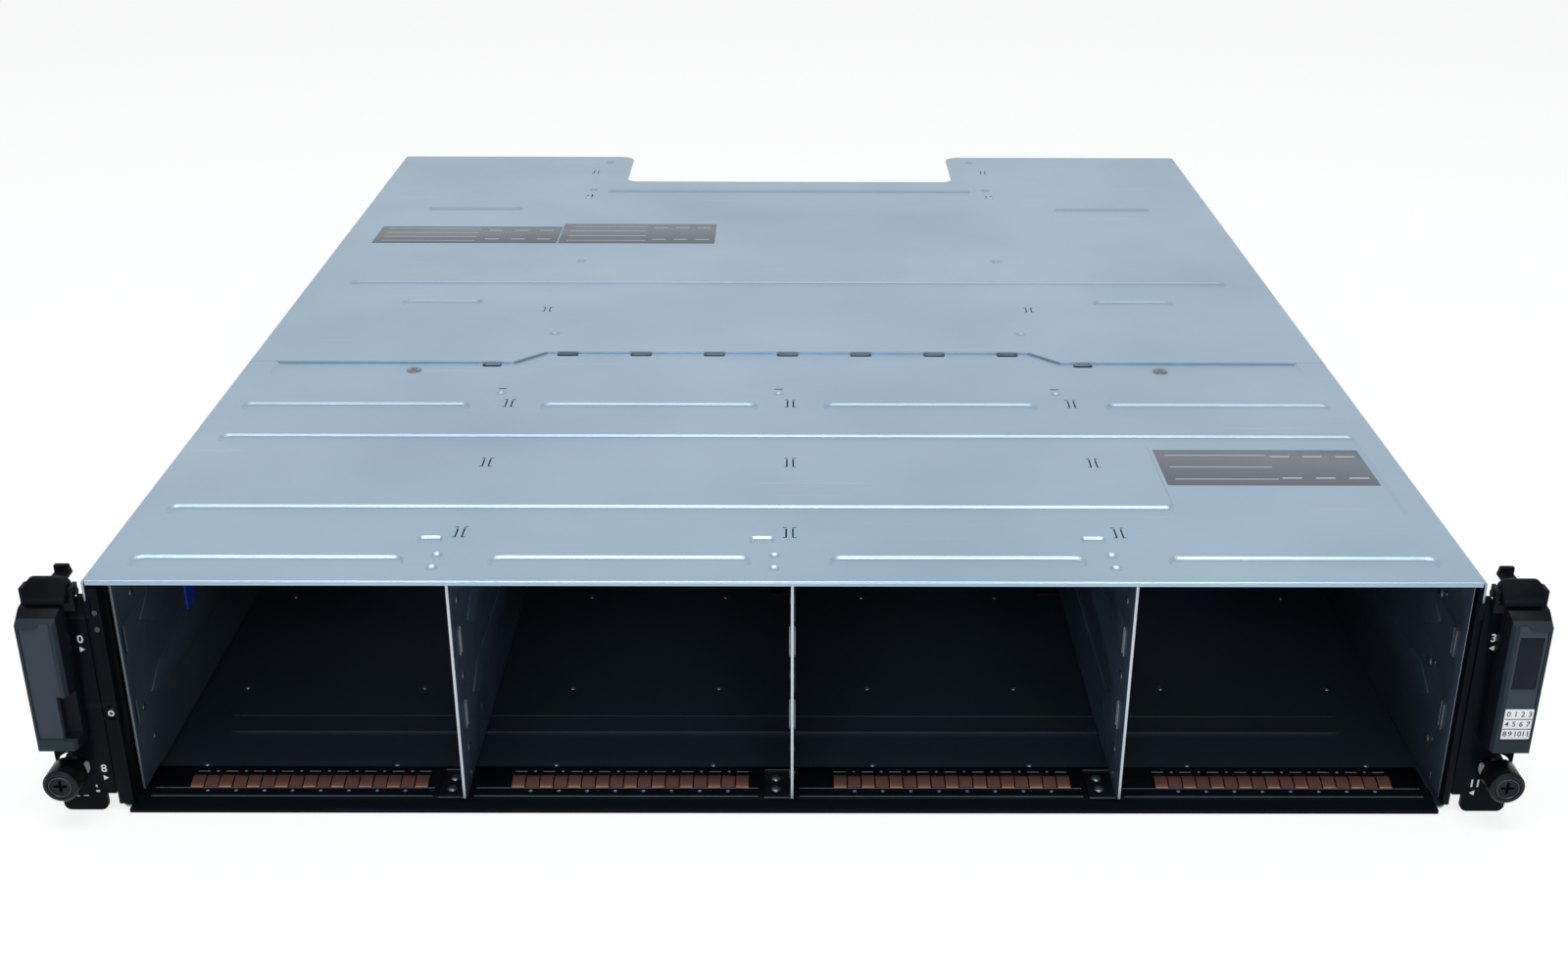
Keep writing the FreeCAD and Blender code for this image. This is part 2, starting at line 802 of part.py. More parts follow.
board_low = floor_top + size.board_floor_gap
board_side = tray_inner - size.board_side
frame_face = size.board_front + size.board_thickness


def vents():
    """Air openings, one over each drive's receptacle."""
    shapes = []
    for column in (1, 2, 3, 4):
        middle = divider_at(column) - column_pitch / 2
        for row in (1, 2, 3):
            floor = row_floor(row) + size.vent_rise
            shapes.append(rectangle(middle - size.vent_width / 2, floor,
                                    middle + size.vent_width / 2, floor + size.vent_height))
    return shapes


def between_vents(row):
    """Z halfway between the vents of one row and those of the next."""
    return row_floor(row) + size.vent_rise + (size.row_pitch + size.vent_height) / 2


def midplane_board():
    body = body_named("midplane_board")
    pad(body, "XZ", size.board_front, size.board_thickness,
        rectangle(-board_side, board_low, board_side, inner_top - size.sheet), *vents())


def midplane_frame():
    """The stamped plate that carries the board, with flanges folded back onto the floor and roof."""
    body = body_named("midplane_frame")
    side = tray_half - size.bend
    floor = floor_top + size.fit_gap
    pad(body, "XZ", frame_face, size.frame_sheet, rectangle(-side, floor, side, inner_top), *vents())
    flange = rectangle(-side, frame_face, side, frame_face + size.frame_flange)
    pad(body, "XY", floor, size.frame_sheet, flange)
    pad(body, "XY", inner_top - size.frame_sheet, size.frame_sheet, flange)


def drive_connector(column, row):
    """A drive's receptacle: a block with a blade mouth and a guide post at each end."""
    middle = divider_at(column) - column_pitch / 2 - size.plug_offset / 2
    level = row_floor(row) + size.plug_rise
    body = body_named(f"drive_connector_{row}_{column}", x=middle,
                      y=size.board_front - size.plug_reach, z=level)
    half = size.plug_width / 2
    high = size.plug_height / 2
    pad(body, "XZ", 0, size.plug_reach, rectangle(-half, -high, half, high))
    mouth = size.plug_mouth_width / 2
    tall = size.plug_mouth_height / 2
    pocket(body, "XZ", 0, size.plug_mouth_depth, rectangle(-mouth, -tall, mouth, tall))


def controller_connector(name, level):
    body = body_named(name, y=frame_face + size.frame_sheet, z=level)
    half = size.control_plug_width / 2
    high = size.control_plug_height / 2
    pad(body, "XZ", 0, size.control_plug_reach, rectangle(-half, -high, half, high))
    wall = (size.control_plug_height - size.control_plug_mouth) / 2
    pocket(body, "XZ", wall, size.control_plug_reach - wall,
           rectangle(-half + wall, -high + wall, half - wall, high - wall))


def power_connector(name, side):
    middle = (size.partition_at + tray_inner) / 2
    body = body_named(name, x=middle * side, y=frame_face + size.frame_sheet, z=between_vents(1))
    half = size.power_plug_width / 2
    high = size.power_plug_height / 2
    pad(body, "XZ", 0, size.power_plug_reach, rectangle(-half, -high, half, high))
    pitch = size.power_plug_width / size.power_plug_blades
    slot = pocket(body, "XZ", size.power_plug_height / 4, size.power_plug_reach,
                  rectangle(-half + pitch / 4, -high / 2, -half + pitch * 3 / 4, high / 2))
    repeat(body, [slot], "X_Axis", pitch * (size.power_plug_blades - 1), size.power_plug_blades)


# ---------------------------------------------------------------- rear cage

def rear_partition(name, side):
    """A wall between a power bay and the controller bay, with feet and lugs folded outwards."""
    body = body_named(name)
    floor = floor_top + size.fit_gap
    inner = size.partition_at - size.partition_sheet / 2
    near = inner if side > 0 else -inner - size.partition_sheet
    pad(body, "YZ", near, size.partition_sheet,
        rectangle(size.partition_front, floor, size.partition_end, inner_top))
    far = inner + size.partition_sheet + size.partition_tab
    length = size.partition_end - size.partition_front
    for level in (floor, inner_top - size.partition_sheet):
        tabs = []
        for start in (size.partition_front, size.partition_end - length / 2,
                      size.partition_end - size.partition_tab * 3):
            tabs.append(rectangle(inner * side, start, far * side, start + size.partition_tab * 3))
        pad(body, "XY", level, size.partition_sheet, *tabs)


def controller_shelf():
    """The shelf between the two controllers, with flanges folded down along both partitions."""
    body = body_named("controller_shelf")
    half = size.partition_at - size.partition_sheet / 2 - size.fit_gap
    length = size.shelf_end - size.shelf_front
    level = size.shelf_level
    low = level - size.shelf_flange
    pad(body, "XZ", size.shelf_front, length, outline(
        (-half, low), (-half, level + size.shelf_sheet), (half, level + size.shelf_sheet), (half, low),
        (half - size.shelf_sheet, low), (half - size.shelf_sheet, level),
        (-half + size.shelf_sheet, level), (-half + size.shelf_sheet, low)))
    pocket(body, "XY", level, size.shelf_sheet, rectangle(
        -size.shelf_relief_half, size.shelf_end - size.shelf_relief_depth,
        size.shelf_relief_half, size.shelf_end + size.shelf_sheet))


# ---------------------------------------------------------------- side trims and front controls

def side_trim(name, side, inner, rear):
    """A moulded strip that closes the gap at the front of a side wall."""
    body = body_named(name)
    outer = half_width - size.fit_gap
    behind_wall = tray_inner - size.fit_gap
    trim_top = top - size.cover_hem - size.fit_gap
    lip_top = top - size.cover_flange - size.fit_gap
    lip_end = size.tray_setback - size.fit_gap
    low = size.trim_bottom
    pad(body, "XY", low, trim_top - low, rectangle(inner * side, size.trim_front, behind_wall * side, rear))
    pad(body, "XY", low, lip_top - low, rectangle(inner * side, size.trim_front, outer * side, lip_end))
    return body


def left_side_trim():
    body = side_trim("left_side_trim", -1, left_trim_inner, size.left_trim_rear)
    slot_high = size.switch_slot / 2
    slot_wide = size.switch_width / 2 + size.fit_gap
    through = size.left_trim_rear + size.sheet
    pocket(body, "XZ", 0, through,
           rectangle(-switch_at - slot_wide, size.switch_level - slot_high,
                     -switch_at + slot_wide, size.switch_level + slot_high),
           disc(-lens_at, size.lens_upper, size.lens_radius + size.fit_gap),
           disc(-lens_at, size.lens_lower, size.lens_radius + size.fit_gap))


def right_side_trim():
    side_trim("right_side_trim", 1, right_plate_face, size.right_trim_rear)


def mode_switch():
    """The slider of the enclosure mode switch: a stem in the trim's slot and a wider foot behind."""
    body = body_named("mode_switch", x=-switch_at, z=size.switch_level)
    half = size.switch_width / 2
    high = size.switch_height / 2
    front = size.trim_front - size.switch_proud
    pad(body, "XZ", front, size.left_trim_rear + size.sheet / 2 - front,
        rectangle(-half, -high, half, high))


def status_lens(name, level):
    body = body_named(name, x=-lens_at, z=level)
    pad(body, "XZ", size.trim_front, size.left_trim_rear + size.sheet / 2, disc(0, 0, size.lens_radius))


def front_panel_board():
    """The small card behind the left trim, upright in the gap beside the guide plate."""
    body = body_named("front_panel_board")
    outer = -tray_inner + size.fit_gap
    pad(body, "YZ", outer, size.board_card_thick,
        rectangle(size.left_trim_rear + size.sheet, size.card_bottom, size.card_rear, size.card_top))


def front_panel_cable():
    """The flat cable from the card to the midplane, laid along the left wall."""
    body = body_named("front_panel_cable")
    outer = -tray_inner + size.fit_gap
    pad(body, "YZ", outer, size.cable_thick,
        rectangle(size.card_rear, size.cable_bottom, frame_face, size.cable_bottom + size.cable_width))


def cable_pull_tab():
    """A thin blue strip lying on the left guide plate between two guides."""
    body = body_named("cable_pull_tab")
    pad(body, "YZ", -left_plate_face, size.tab_strip_thick, rectangle(
        size.tab_strip_near, size.tab_strip_bottom, size.tab_strip_near + size.tab_strip_wide,
        row_floor(3) - size.guide_half - size.sheet))


# ---------------------------------------------------------------- ears

def ear_bracket(name, side):
    """The rack flange with its leg along the chassis wall and the cut for the latch lever."""
    body = body_named(name)
    inner = half_width + size.ear_gap
    outer = ear_edge
    notch = inner + size.ear_notch_width
    corner = size.ear_corner
    pad(body, "XZ", 0, size.ear_sheet, outline(
        (inner * side, size.ear_notch_top), (inner * side, size.ear_top),
        (ear_lever_inner * side, size.ear_top), (ear_lever_inner * side, size.ear_lever_top),
        (outer * side, size.ear_lever_top), (outer * side, 0, corner), (notch * side, 0, corner),
        (notch * side, size.ear_notch_top)),
        disc(screw_at * side, size.screw_level, size.screw_hole_radius))
    leg_outer = inner + size.ear_leg_sheet
    pad(body, "XY", size.ear_leg_bottom, size.ear_leg_top - size.ear_leg_bottom,
        rectangle(inner * side, 0, leg_outer * side, size.ear_leg))


def screw_clip(name, side):
    """The plate behind the flange whose open seat holds the thumbscrew's shank."""
    body = body_named(name)
    seat = size.shank_radius + size.clip_clearance
    half = size.clip_half
    pad(body, "XZ", size.ear_sheet, size.clip_sheet, rectangle(
        (screw_at - half) * side, size.clip_bottom, (screw_at + half) * side, size.screw_level))
    pocket(body, "XZ", size.ear_sheet, size.clip_sheet, disc(screw_at * side, size.screw_level, seat))


def ear_housing(name, side):
    """The moulded ear cover: flat front, sloped top and two cheeks that hold the latch pin."""
    body = body_named(name)
    inner = housing_inner
    outer = ear_edge
    front = -size.housing_front
    width = outer - inner
    near = inner if side > 0 else -outer
    pad(body, "YZ", near, width, outline(
        (0, size.housing_bottom), (front, size.housing_bottom), (front, size.housing_face_top),
        (-size.housing_slope_front, size.housing_slope_top), (0, size.housing_top)))
    # the inner side leans back from the face to the flange
    beyond = inner - size.housing_draft
    pocket(body, "XY", size.housing_bottom - size.sheet, size.housing_top, outline(
        (beyond * side, front - size.sheet), ((inner + size.housing_draft) * side, front - size.sheet),
        (inner * side, -size.housing_slope_front), (beyond * side, -size.housing_slope_front)))
    # cheeks beside the lever
    cheek_front = -size.pivot_radius * 2
    lever_in = lever_inner() - size.lever_gap
    lever_out = lever_outer() + size.lever_gap
    cheeks = ((lever_in - size.cheek_width, lever_in), (lever_out, outer))
    for low, high in cheeks:
        start = low if side > 0 else -high
        pad(body, "YZ", start, high - low, outline(
            (cheek_front, size.housing_top - size.sheet * 2), (cheek_front, size.cheek_top),
            (size.cheek_back, size.cheek_top), (size.cheek_back, size.ear_top + size.fit_gap),
            (0, size.ear_top + size.fit_gap), (0, size.housing_top - size.sheet * 2)))
    foot_width = inner - (lever_in - size.cheek_width) + size.sheet
    foot_start = lever_in - size.cheek_width if side > 0 else -(inner + size.sheet)
    pad(body, "YZ", foot_start, foot_width, rectangle(
        cheek_front, size.housing_slope_top - size.cheek_width * 2, 0, size.housing_top))
    pocket(body, "YZ", pivot_inner * side if side > 0 else -outer - size.sheet,
           outer + size.sheet - pivot_inner,
           disc(size.pivot_back, size.pivot_level, size.pivot_radius))
    return body


def housing_face_inner():
    return housing_inner + size.housing_draft


def panel_corners(side, grown, low, high, stepped):
    """The corners of a recess in the housing's face, or of the panel in it."""
    inner = housing_face_inner() + size.recess_margin - grown
    outer = ear_edge - size.recess_margin + grown
    step_in = inner + size.recess_step_width
    if not stepped:
        return outline((inner * side, low), (outer * side, low), (outer * side, high), (inner * side, high))
    raised = high + size.recess_step
    return outline((inner * side, low), (outer * side, low), (outer * side, high),
                   ((step_in + size.recess_step) * side, high), (step_in * side, raised),
                   (inner * side, raised))


def left_ear_housing():
    body = ear_housing("left_ear_housing", -1)
    front = -size.housing_front
    pocket(body, "XZ", front, size.recess_depth,
           panel_corners(-1, as_size(0), size.recess_bottom, size.recess_top, True))
    inner = housing_inner - size.sheet
    cut = housing_face_inner() + size.finger_cut_width
    pocket(body, "XZ", front, size.finger_cut_depth, rectangle(
        -cut, size.finger_cut_bottom, -inner, size.finger_cut_top))


def right_ear_housing():
    body = ear_housing("right_ear_housing", 1)
    pocket(body, "XZ", -size.housing_front, size.recess_depth,
           panel_corners(1, as_size(0), size.recess_bottom, size.recess_top, True))


def left_ear_panel():
    """The plain panel in the left ear's face, cut away beside the finger cut."""
    body = body_named("left_ear_panel")
    gap = -size.fit_gap
    face = -size.housing_front + size.panel_drop
    pad(body, "XZ", face, size.recess_depth - size.panel_drop,
        panel_corners(-1, gap, size.recess_bottom + size.fit_gap, size.recess_top - size.fit_gap, True))
    cut = housing_face_inner() + size.finger_cut_width + size.fit_gap
    pocket(body, "XZ", face, size.recess_depth, rectangle(
        -cut, size.recess_bottom, -housing_inner, size.finger_cut_top + size.fit_gap))


def right_ear_panel():
    """The panel in the right ear's face with a sunk blank field for a tag."""
    body = body_named("right_ear_panel")
    gap = -size.fit_gap
    face = -size.housing_front + size.panel_drop
    pad(body, "XZ", face, size.recess_depth - size.panel_drop,
        panel_corners(1, gap, size.recess_bottom + size.fit_gap, size.recess_top - size.fit_gap, True))
    inner = housing_face_inner() + size.recess_margin * 2
    outer = ear_edge - size.recess_margin * 2
    pocket(body, "XZ", face, size.panel_drop, rectangle(
        inner, size.tag_bottom, outer, size.tag_top, size.panel_drop))


# ---------------------------------------------------------------- latch levers

def lever_inner():
    return ear_lever_inner + size.cheek_width + size.lever_gap


def lever_outer():
    return ear_edge - size.cheek_width - size.lever_gap


def latch_lever(name, side):
    """A spring latch: sloped finger tab and lip in front, a hook behind, both about one pin."""
    body = body_named(name, y=size.pivot_back, z=size.pivot_level)
    inner = lever_inner()
    outer = lever_outer()
    near = inner if side > 0 else -outer
    boss = size.boss_radius
    reach = size.hook_reach
    thick = size.hook_thick
    nose = size.hook_nose
    pad(body, "YZ", near, outer - inner, outline(
        (-size.lip_reach, -size.lip_bottom), (-size.lip_reach, -size.lip_top),
        (-size.lip_reach + size.tab_thick / 2, size.lip_top), (-size.tab_thick / 2, size.tab_rise),
        (size.tab_thick / 2, size.tab_rise), (boss, thick / 2), (reach - nose, thick / 2),
        (reach - nose, size.hook_rise), (reach - nose / 2, size.hook_rise), (reach, -thick / 4),
        (boss * 1.1, -thick / 2), (boss / 2, -boss), (-boss / 2, -boss),
        (-size.lip_reach / 2, -size.lip_bottom)),
        disc(0, 0, size.pivot_radius + size.pivot_clearance))
    # round the tab's upper corners as seen from the front
    far = size.hook_reach + size.lip_reach
    margin = size.sheet
    pocket(body, "XZ", -size.lip_reach - margin, far + margin * 2,
           outline(((inner - margin) * side, -size.boss_radius - margin),
                   ((outer + margin) * side, -size.boss_radius - margin),
                   ((outer + margin) * side, size.tab_rise + margin),
                   ((inner - margin) * side, size.tab_rise + margin)),
           outline((inner * side, -size.boss_radius - margin / 2),
                   (outer * side, -size.boss_radius - margin / 2),
                   (outer * side, size.tab_rise, size.tab_corner),
                   (inner * side, size.tab_rise, size.tab_corner)))
    # the hook is narrower than the tab
    third = (outer - inner) / 3
    behind = size.boss_radius + size.sheet
    for start in (inner, outer - third):
        low = start if side > 0 else -(start + third)
        pocket(body, "YZ", low, third, rectangle(
            behind, -size.boss_radius, reach + size.sheet, size.hook_rise + size.sheet))


def latch_pin(name, side):
    body = body_named(name, y=size.pivot_back, z=size.pivot_level)
    start = pivot_inner if side > 0 else -ear_edge
    pad(body, "YZ", start, ear_edge - pivot_inner, disc(0, 0, size.pivot_radius))


# ---------------------------------------------------------------- thumbscrews

def thumbscrew(name, side):
    """A captive thumbscrew: stepped head with a cross recess, shank and retaining ring."""
    body = body_named(name, x=screw_at * side, z=size.screw_level)
    front = -size.head_front
    back = -size.head_back
    cut = size.head_chamfer
    ring_front = size.ear_sheet + size.clip_sheet + size.fit_gap
    revolve(body, "XY", "Y_Axis", outline(
        (0, front + size.head_ring_drop), (size.head_face_radius, front + size.head_ring_drop),
        (size.head_face_radius, front), (size.head_radius - cut, front), (size.head_radius, front + cut),
        (size.head_radius, back), (size.shank_radius, back),
        (size.shank_radius, ring_front), (size.ring_radius, ring_front),
        (size.ring_radius, ring_front + size.ring_thick), (size.shank_radius, ring_front + size.ring_thick),
        (size.shank_radius, size.shank_end), (0, size.shank_end)))
    long = size.drive_length / 2
    wide = size.drive_width / 2
    cross = outline((-long, -wide), (-wide, -wide), (-wide, -long), (wide, -long), (wide, -wide),
                    (long, -wide), (long, wide), (wide, wide), (wide, long), (-wide, long),
                    (-wide, wide), (-long, wide))
    pocket(body, "XZ", front, size.head_ring_drop + size.drive_depth, cross)


# ---------------------------------------------------------------- the assembly

base_tray()
front_sill()
front_cover()
rear_cover()
for number in (1, 2, 3):
    divider(number)
left_guide_plate()
right_guide_plate()
for column in (1, 2, 3, 4):
    finger_strip(column)
midplane_board()
midplane_frame()
for row in (1, 2, 3):
    for column in (1, 2, 3, 4):
        drive_connector(column, row)
controller_connector("controller_connector_lower", between_vents(1))
controller_connector("controller_connector_upper", between_vents(2))
power_connector("power_connector_left", -1)
power_connector("power_connector_right", 1)
rear_partition("rear_partition_left", -1)
rear_partition("rear_partition_right", 1)
controller_shelf()
left_side_trim()
right_side_trim()
mode_switch()
status_lens("status_lens_upper", size.lens_upper)
status_lens("status_lens_lower", size.lens_lower)
front_panel_board()
front_panel_cable()
cable_pull_tab()
for side, word in ((-1, "left"), (1, "right")):
    ear_bracket(f"{word}_ear_bracket", side)
    screw_clip(f"{word}_screw_clip", side)
    latch_lever(f"{word}_latch_lever", side)
    latch_pin(f"{word}_latch_pin", side)
    thumbscrew(f"{word}_thumbscrew", side)
left_ear_housing()
right_ear_housing()
left_ear_panel()
right_ear_panel()
doc.recompute()


# ---------------------------------------------------------------- checks and export

def check():
    for item in doc.Objects:
        if "Invalid" in item.State or "Error" in item.State:
            raise RuntimeError(f"{item.Name} failed: {item.State}")
    for item in doc.Objects:
        if item.TypeId in ("PartDesign::Pad", "PartDesign::Pocket") and item.BaseFeature is not None:
            grew = item.Shape.Volume - item.BaseFeature.Shape.Volume
            if item.TypeId == "PartDesign::Pad" and grew <= 0:
                raise RuntimeError(f"{item.Name} adds nothing")
            if item.TypeId == "PartDesign::Pocket" and grew >= 0:
                raise RuntimeError(f"{item.Name} cuts nothing")
    for body in pieces:
        if body.Shape.isNull() or not body.Shape.isValid():
            raise RuntimeError(f"{body.Label} has no valid shape")


check()
os.makedirs("parts", exist_ok=True)
for body in pieces:
    body.Shape.exportStep(f"parts/{body.Label}.step")
print(len(pieces), "pieces written")
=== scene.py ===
from math import cos, dist, pi, radians, sin, tan

import bpy
from mathutils import Matrix, Vector


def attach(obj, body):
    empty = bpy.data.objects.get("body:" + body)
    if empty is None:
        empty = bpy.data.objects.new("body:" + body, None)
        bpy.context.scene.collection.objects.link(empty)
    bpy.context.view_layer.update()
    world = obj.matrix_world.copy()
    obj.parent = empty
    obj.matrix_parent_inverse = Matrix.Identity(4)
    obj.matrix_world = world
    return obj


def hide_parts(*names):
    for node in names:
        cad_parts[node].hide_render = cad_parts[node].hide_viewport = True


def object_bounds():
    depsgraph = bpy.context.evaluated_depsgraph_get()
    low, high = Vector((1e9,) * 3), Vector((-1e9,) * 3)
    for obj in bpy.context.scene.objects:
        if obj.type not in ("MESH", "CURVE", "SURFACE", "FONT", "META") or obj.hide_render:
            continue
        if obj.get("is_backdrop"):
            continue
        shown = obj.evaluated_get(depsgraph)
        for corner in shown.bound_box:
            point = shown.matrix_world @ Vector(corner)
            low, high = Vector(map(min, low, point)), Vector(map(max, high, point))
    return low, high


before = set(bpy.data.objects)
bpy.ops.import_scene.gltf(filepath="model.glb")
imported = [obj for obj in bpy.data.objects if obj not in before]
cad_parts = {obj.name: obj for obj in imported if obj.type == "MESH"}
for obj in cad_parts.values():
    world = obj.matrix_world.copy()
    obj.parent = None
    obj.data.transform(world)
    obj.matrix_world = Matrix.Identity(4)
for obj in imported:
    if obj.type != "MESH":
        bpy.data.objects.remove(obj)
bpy.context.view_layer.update()  # brings the imported pieces' places up to date

front_edge = 264.5  # from the frame's middle forward to the covers' front edge, in mm
weld = 0.000002  # points nearer than this, in metres, are one point


# ------------------------------------------------------------------ base tray
# The folded tray that carries everything: zinc coated sheet steel, bare outside and painted dark
# inside as shade, with a long stiffening bead and small raised dimples pressed into its floor.

def hex_colour(code):
    """An sRGB hex value as the linear colour that a shader takes."""
    channels = [int(code[start:start + 2], 16) / 255 for start in (0, 2, 4)]
    return [c / 12.92 if c <= 0.04045 else ((c + 0.055) / 1.055) ** 2.4 for c in channels] + [1.0]


def add_node(tree, kind, values=None, links=None, **settings):
    """Adds a node to a material with its settings, socket values and incoming links."""
    node = tree.nodes.new(kind)
    for name, value in settings.items():
        setattr(node, name, value)
    for socket, value in (values or {}).items():
        node.inputs[socket].default_value = value
    for socket, source in (links or {}).items():
        tree.links.new(source, node.inputs[socket])
    return node


def calculated(tree, operation, *sources):
    """The result of a maths node from numbers and other nodes' outputs."""
    node = add_node(tree, "ShaderNodeMath", operation=operation)
    for socket, source in enumerate(sources):
        if isinstance(source, (int, float)):
            node.inputs[socket].default_value = source
        else:
            tree.links.new(source, node.inputs[socket])
    return node.outputs[0]


def coated_surface(name, colour, shade, metallic, roughness, grain_mm, relief_mm, patch_mm=60,
                   stretch=(1, 1, 1), scuff=0.0, scuff_colour="C9D2D8", edge=None, inside=None,
                   sheen_spread=0.1, patch_contrast=0.5, gloss=0.5):
    """A surface with cloudy colour, uneven roughness, a fine grain and, if asked, rubbed scratches,
    another colour in front of a depth, such as a cut edge with a painted highlight, or another
    colour inside a box, such as painted shade.  The gloss is how much a surface without metal
    reflects."""
    material = bpy.data.materials.new(name)
    material.use_nodes = True
    tree = material.node_tree
    tree.nodes.clear()
    place = add_node(tree, "ShaderNodeTexCoord").outputs["Object"]
    drawn = add_node(tree, "ShaderNodeMapping", {"Scale": stretch}, {"Vector": place}).outputs[0]
    clouds = add_node(tree, "ShaderNodeTexNoise", {"Scale": 1000 / patch_mm, "Detail": 4.0},
                      {"Vector": drawn}).outputs["Fac"]
    cloud_share = add_node(tree, "ShaderNodeMapRange", {
        "From Min": 0.5 - patch_contrast / 2, "From Max": 0.5 + patch_contrast / 2},
        {"Value": clouds}).outputs[0]
    tone = add_node(tree, "ShaderNodeMix", {6: hex_colour(colour), 7: hex_colour(shade)},
                    {0: cloud_share}, data_type="RGBA")
    skin = tone.outputs[2]
    parts = add_node(tree, "ShaderNodeSeparateXYZ", None, {"Vector": place}).outputs
    if inside:
        half_x, front_y, low_z, high_z, other = inside
        across = calculated(tree, "ABSOLUTE", parts[0])
        share = calculated(tree, "LESS_THAN", across, half_x)
        for axis, limit, test in ((1, front_y, "GREATER_THAN"), (2, low_z, "GREATER_THAN"),
                                  (2, high_z, "LESS_THAN")):
            share = calculated(tree, "MULTIPLY", share, calculated(tree, test, parts[axis], limit))
        skin = blended(tree, share, skin, hex_colour(other))
    if edge:
        depth, edge_colour = edge
        share = calculated(tree, "LESS_THAN", parts[1], depth)
        skin = blended(tree, share, skin, hex_colour(edge_colour))
    if scuff:
        lines = add_node(tree, "ShaderNodeMapping",
                         {"Scale": (12, 300, 300), "Rotation": (0, 0, 0.35)},
                         {"Vector": place}).outputs[0]
        marks = add_node(tree, "ShaderNodeTexNoise", {"Scale": 1.0, "Detail": 3.0},
                         {"Vector": lines}).outputs["Fac"]
        share = add_node(tree, "ShaderNodeMapRange", {
            "From Min": 0.66, "From Max": 0.74, "To Max": scuff}, {"Value": marks}).outputs[0]
        skin = blended(tree, share, skin, hex_colour(scuff_colour))
    grain = add_node(tree, "ShaderNodeTexNoise", {"Scale": 1000 / grain_mm, "Detail": 2.0},
                     {"Vector": drawn}).outputs["Fac"]
    dull = calculated(tree, "ADD", clouds, grain)
    rough = add_node(tree, "ShaderNodeMapRange", {
        "From Min": 0.6, "From Max": 1.4, "To Min": roughness - sheen_spread / 2,
        "To Max": roughness + sheen_spread / 2}, {"Value": dull}).outputs[0]
    bump = add_node(tree, "ShaderNodeBump", {"Strength": 0.5, "Distance": relief_mm / 1000},
                    {"Height": grain}).outputs[0]
    shader = add_node(tree, "ShaderNodeBsdfPrincipled",
                      {"Metallic": metallic, "Specular IOR Level": gloss},
                      {"Base Color": skin, "Roughness": rough, "Normal": bump}).outputs[0]
    add_node(tree, "ShaderNodeOutputMaterial", None, {"Surface": shader})
    return material


def blended(tree, share, first, colour):
    """A colour laid over another by a share."""
    mix = add_node(tree, "ShaderNodeMix", {7: colour}, {0: share, 6: first}, data_type="RGBA")
    return mix.outputs[2]


def at(x, y, z):
    """A place in mm, with y counted from the covers' front edge, as metres in the frame."""
    return (x / 1000, (y - front_edge) / 1000, z / 1000)


def only(piece):
    """Makes one piece the selected and active one."""
    bpy.ops.object.select_all(action="DESELECT")
    piece.select_set(True)
    bpy.context.view_layer.objects.active = piece


def settle(piece, name, body, slot, finish, *nodes):
    """Names a finished piece, puts its place into its mesh and lets it ride on its body."""
    piece.name = name
    piece.data.name = name
    only(piece)
    bpy.ops.object.transform_apply(location=True, rotation=True, scale=True)
    piece.data.materials.clear()
    piece.data.materials.append(finish)
    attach(piece, body)
    if nodes:
        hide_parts(*nodes)
    return piece


def joined(pieces):
    """Several pieces made one mesh."""
    only(pieces[0])
    for piece in pieces:
        piece.select_set(True)
    if len(pieces) > 1:
        bpy.ops.object.join()
    return pieces[0]


def smoothed(piece, degrees=35):
    """Shades a piece smooth but for its sharp edges."""
    only(piece)
    bpy.ops.object.shade_smooth_by_angle(angle=radians(degrees))
    return piece


def dome(x, y, z, radius, rise, facing=(0, 0, 1)):
    """A low round bump pressed out of a flat sheet."""
    squeeze = [rise / radius if part else 1 for part in facing]
    bpy.ops.object.select_all(action="DESELECT")
    bpy.ops.mesh.primitive_uv_sphere_add(segments=16, ring_count=8, radius=radius / 1000,
                                         location=at(x, y, z), scale=squeeze)
    piece = bpy.context.object
    bpy.ops.object.transform_apply(location=True, rotation=True, scale=True)
    bpy.ops.object.mode_set(mode="EDIT")
    bpy.ops.mesh.select_all(action="SELECT")
    bpy.ops.mesh.bisect(plane_co=at(x, y, z), plane_no=facing, clear_inner=True, use_fill=True)
    bpy.ops.object.mode_set(mode="OBJECT")
    return smoothed(piece)


def block(x_low, x_high, y_low, y_high, z_low, z_high, ease=0.0):
    """A box between six places, with eased edges if asked."""
    middle = at((x_low + x_high) / 2, (y_low + y_high) / 2, (z_low + z_high) / 2)
    bpy.ops.object.select_all(action="DESELECT")
    bpy.ops.mesh.primitive_cube_add(size=0.001, location=middle, scale=(
        x_high - x_low, y_high - y_low, z_high - z_low))
    piece = bpy.context.object
    bpy.ops.object.transform_apply(location=True, rotation=True, scale=True)
    if ease:
        round_edges(piece, ease)
    return piece


def round_edges(piece, width, degrees=30, segments=2):
    """Rounds the sharp edges of a piece and shades the rest smooth."""
    only(piece)
    bevel = piece.modifiers.new("eased", "BEVEL")
    bevel.width = width / 1000
    bevel.segments = segments
    bevel.limit_method = "ANGLE"
    bevel.angle_limit = radians(degrees)
    bpy.ops.object.modifier_apply(modifier=bevel.name)
    return smoothed(piece, 40)


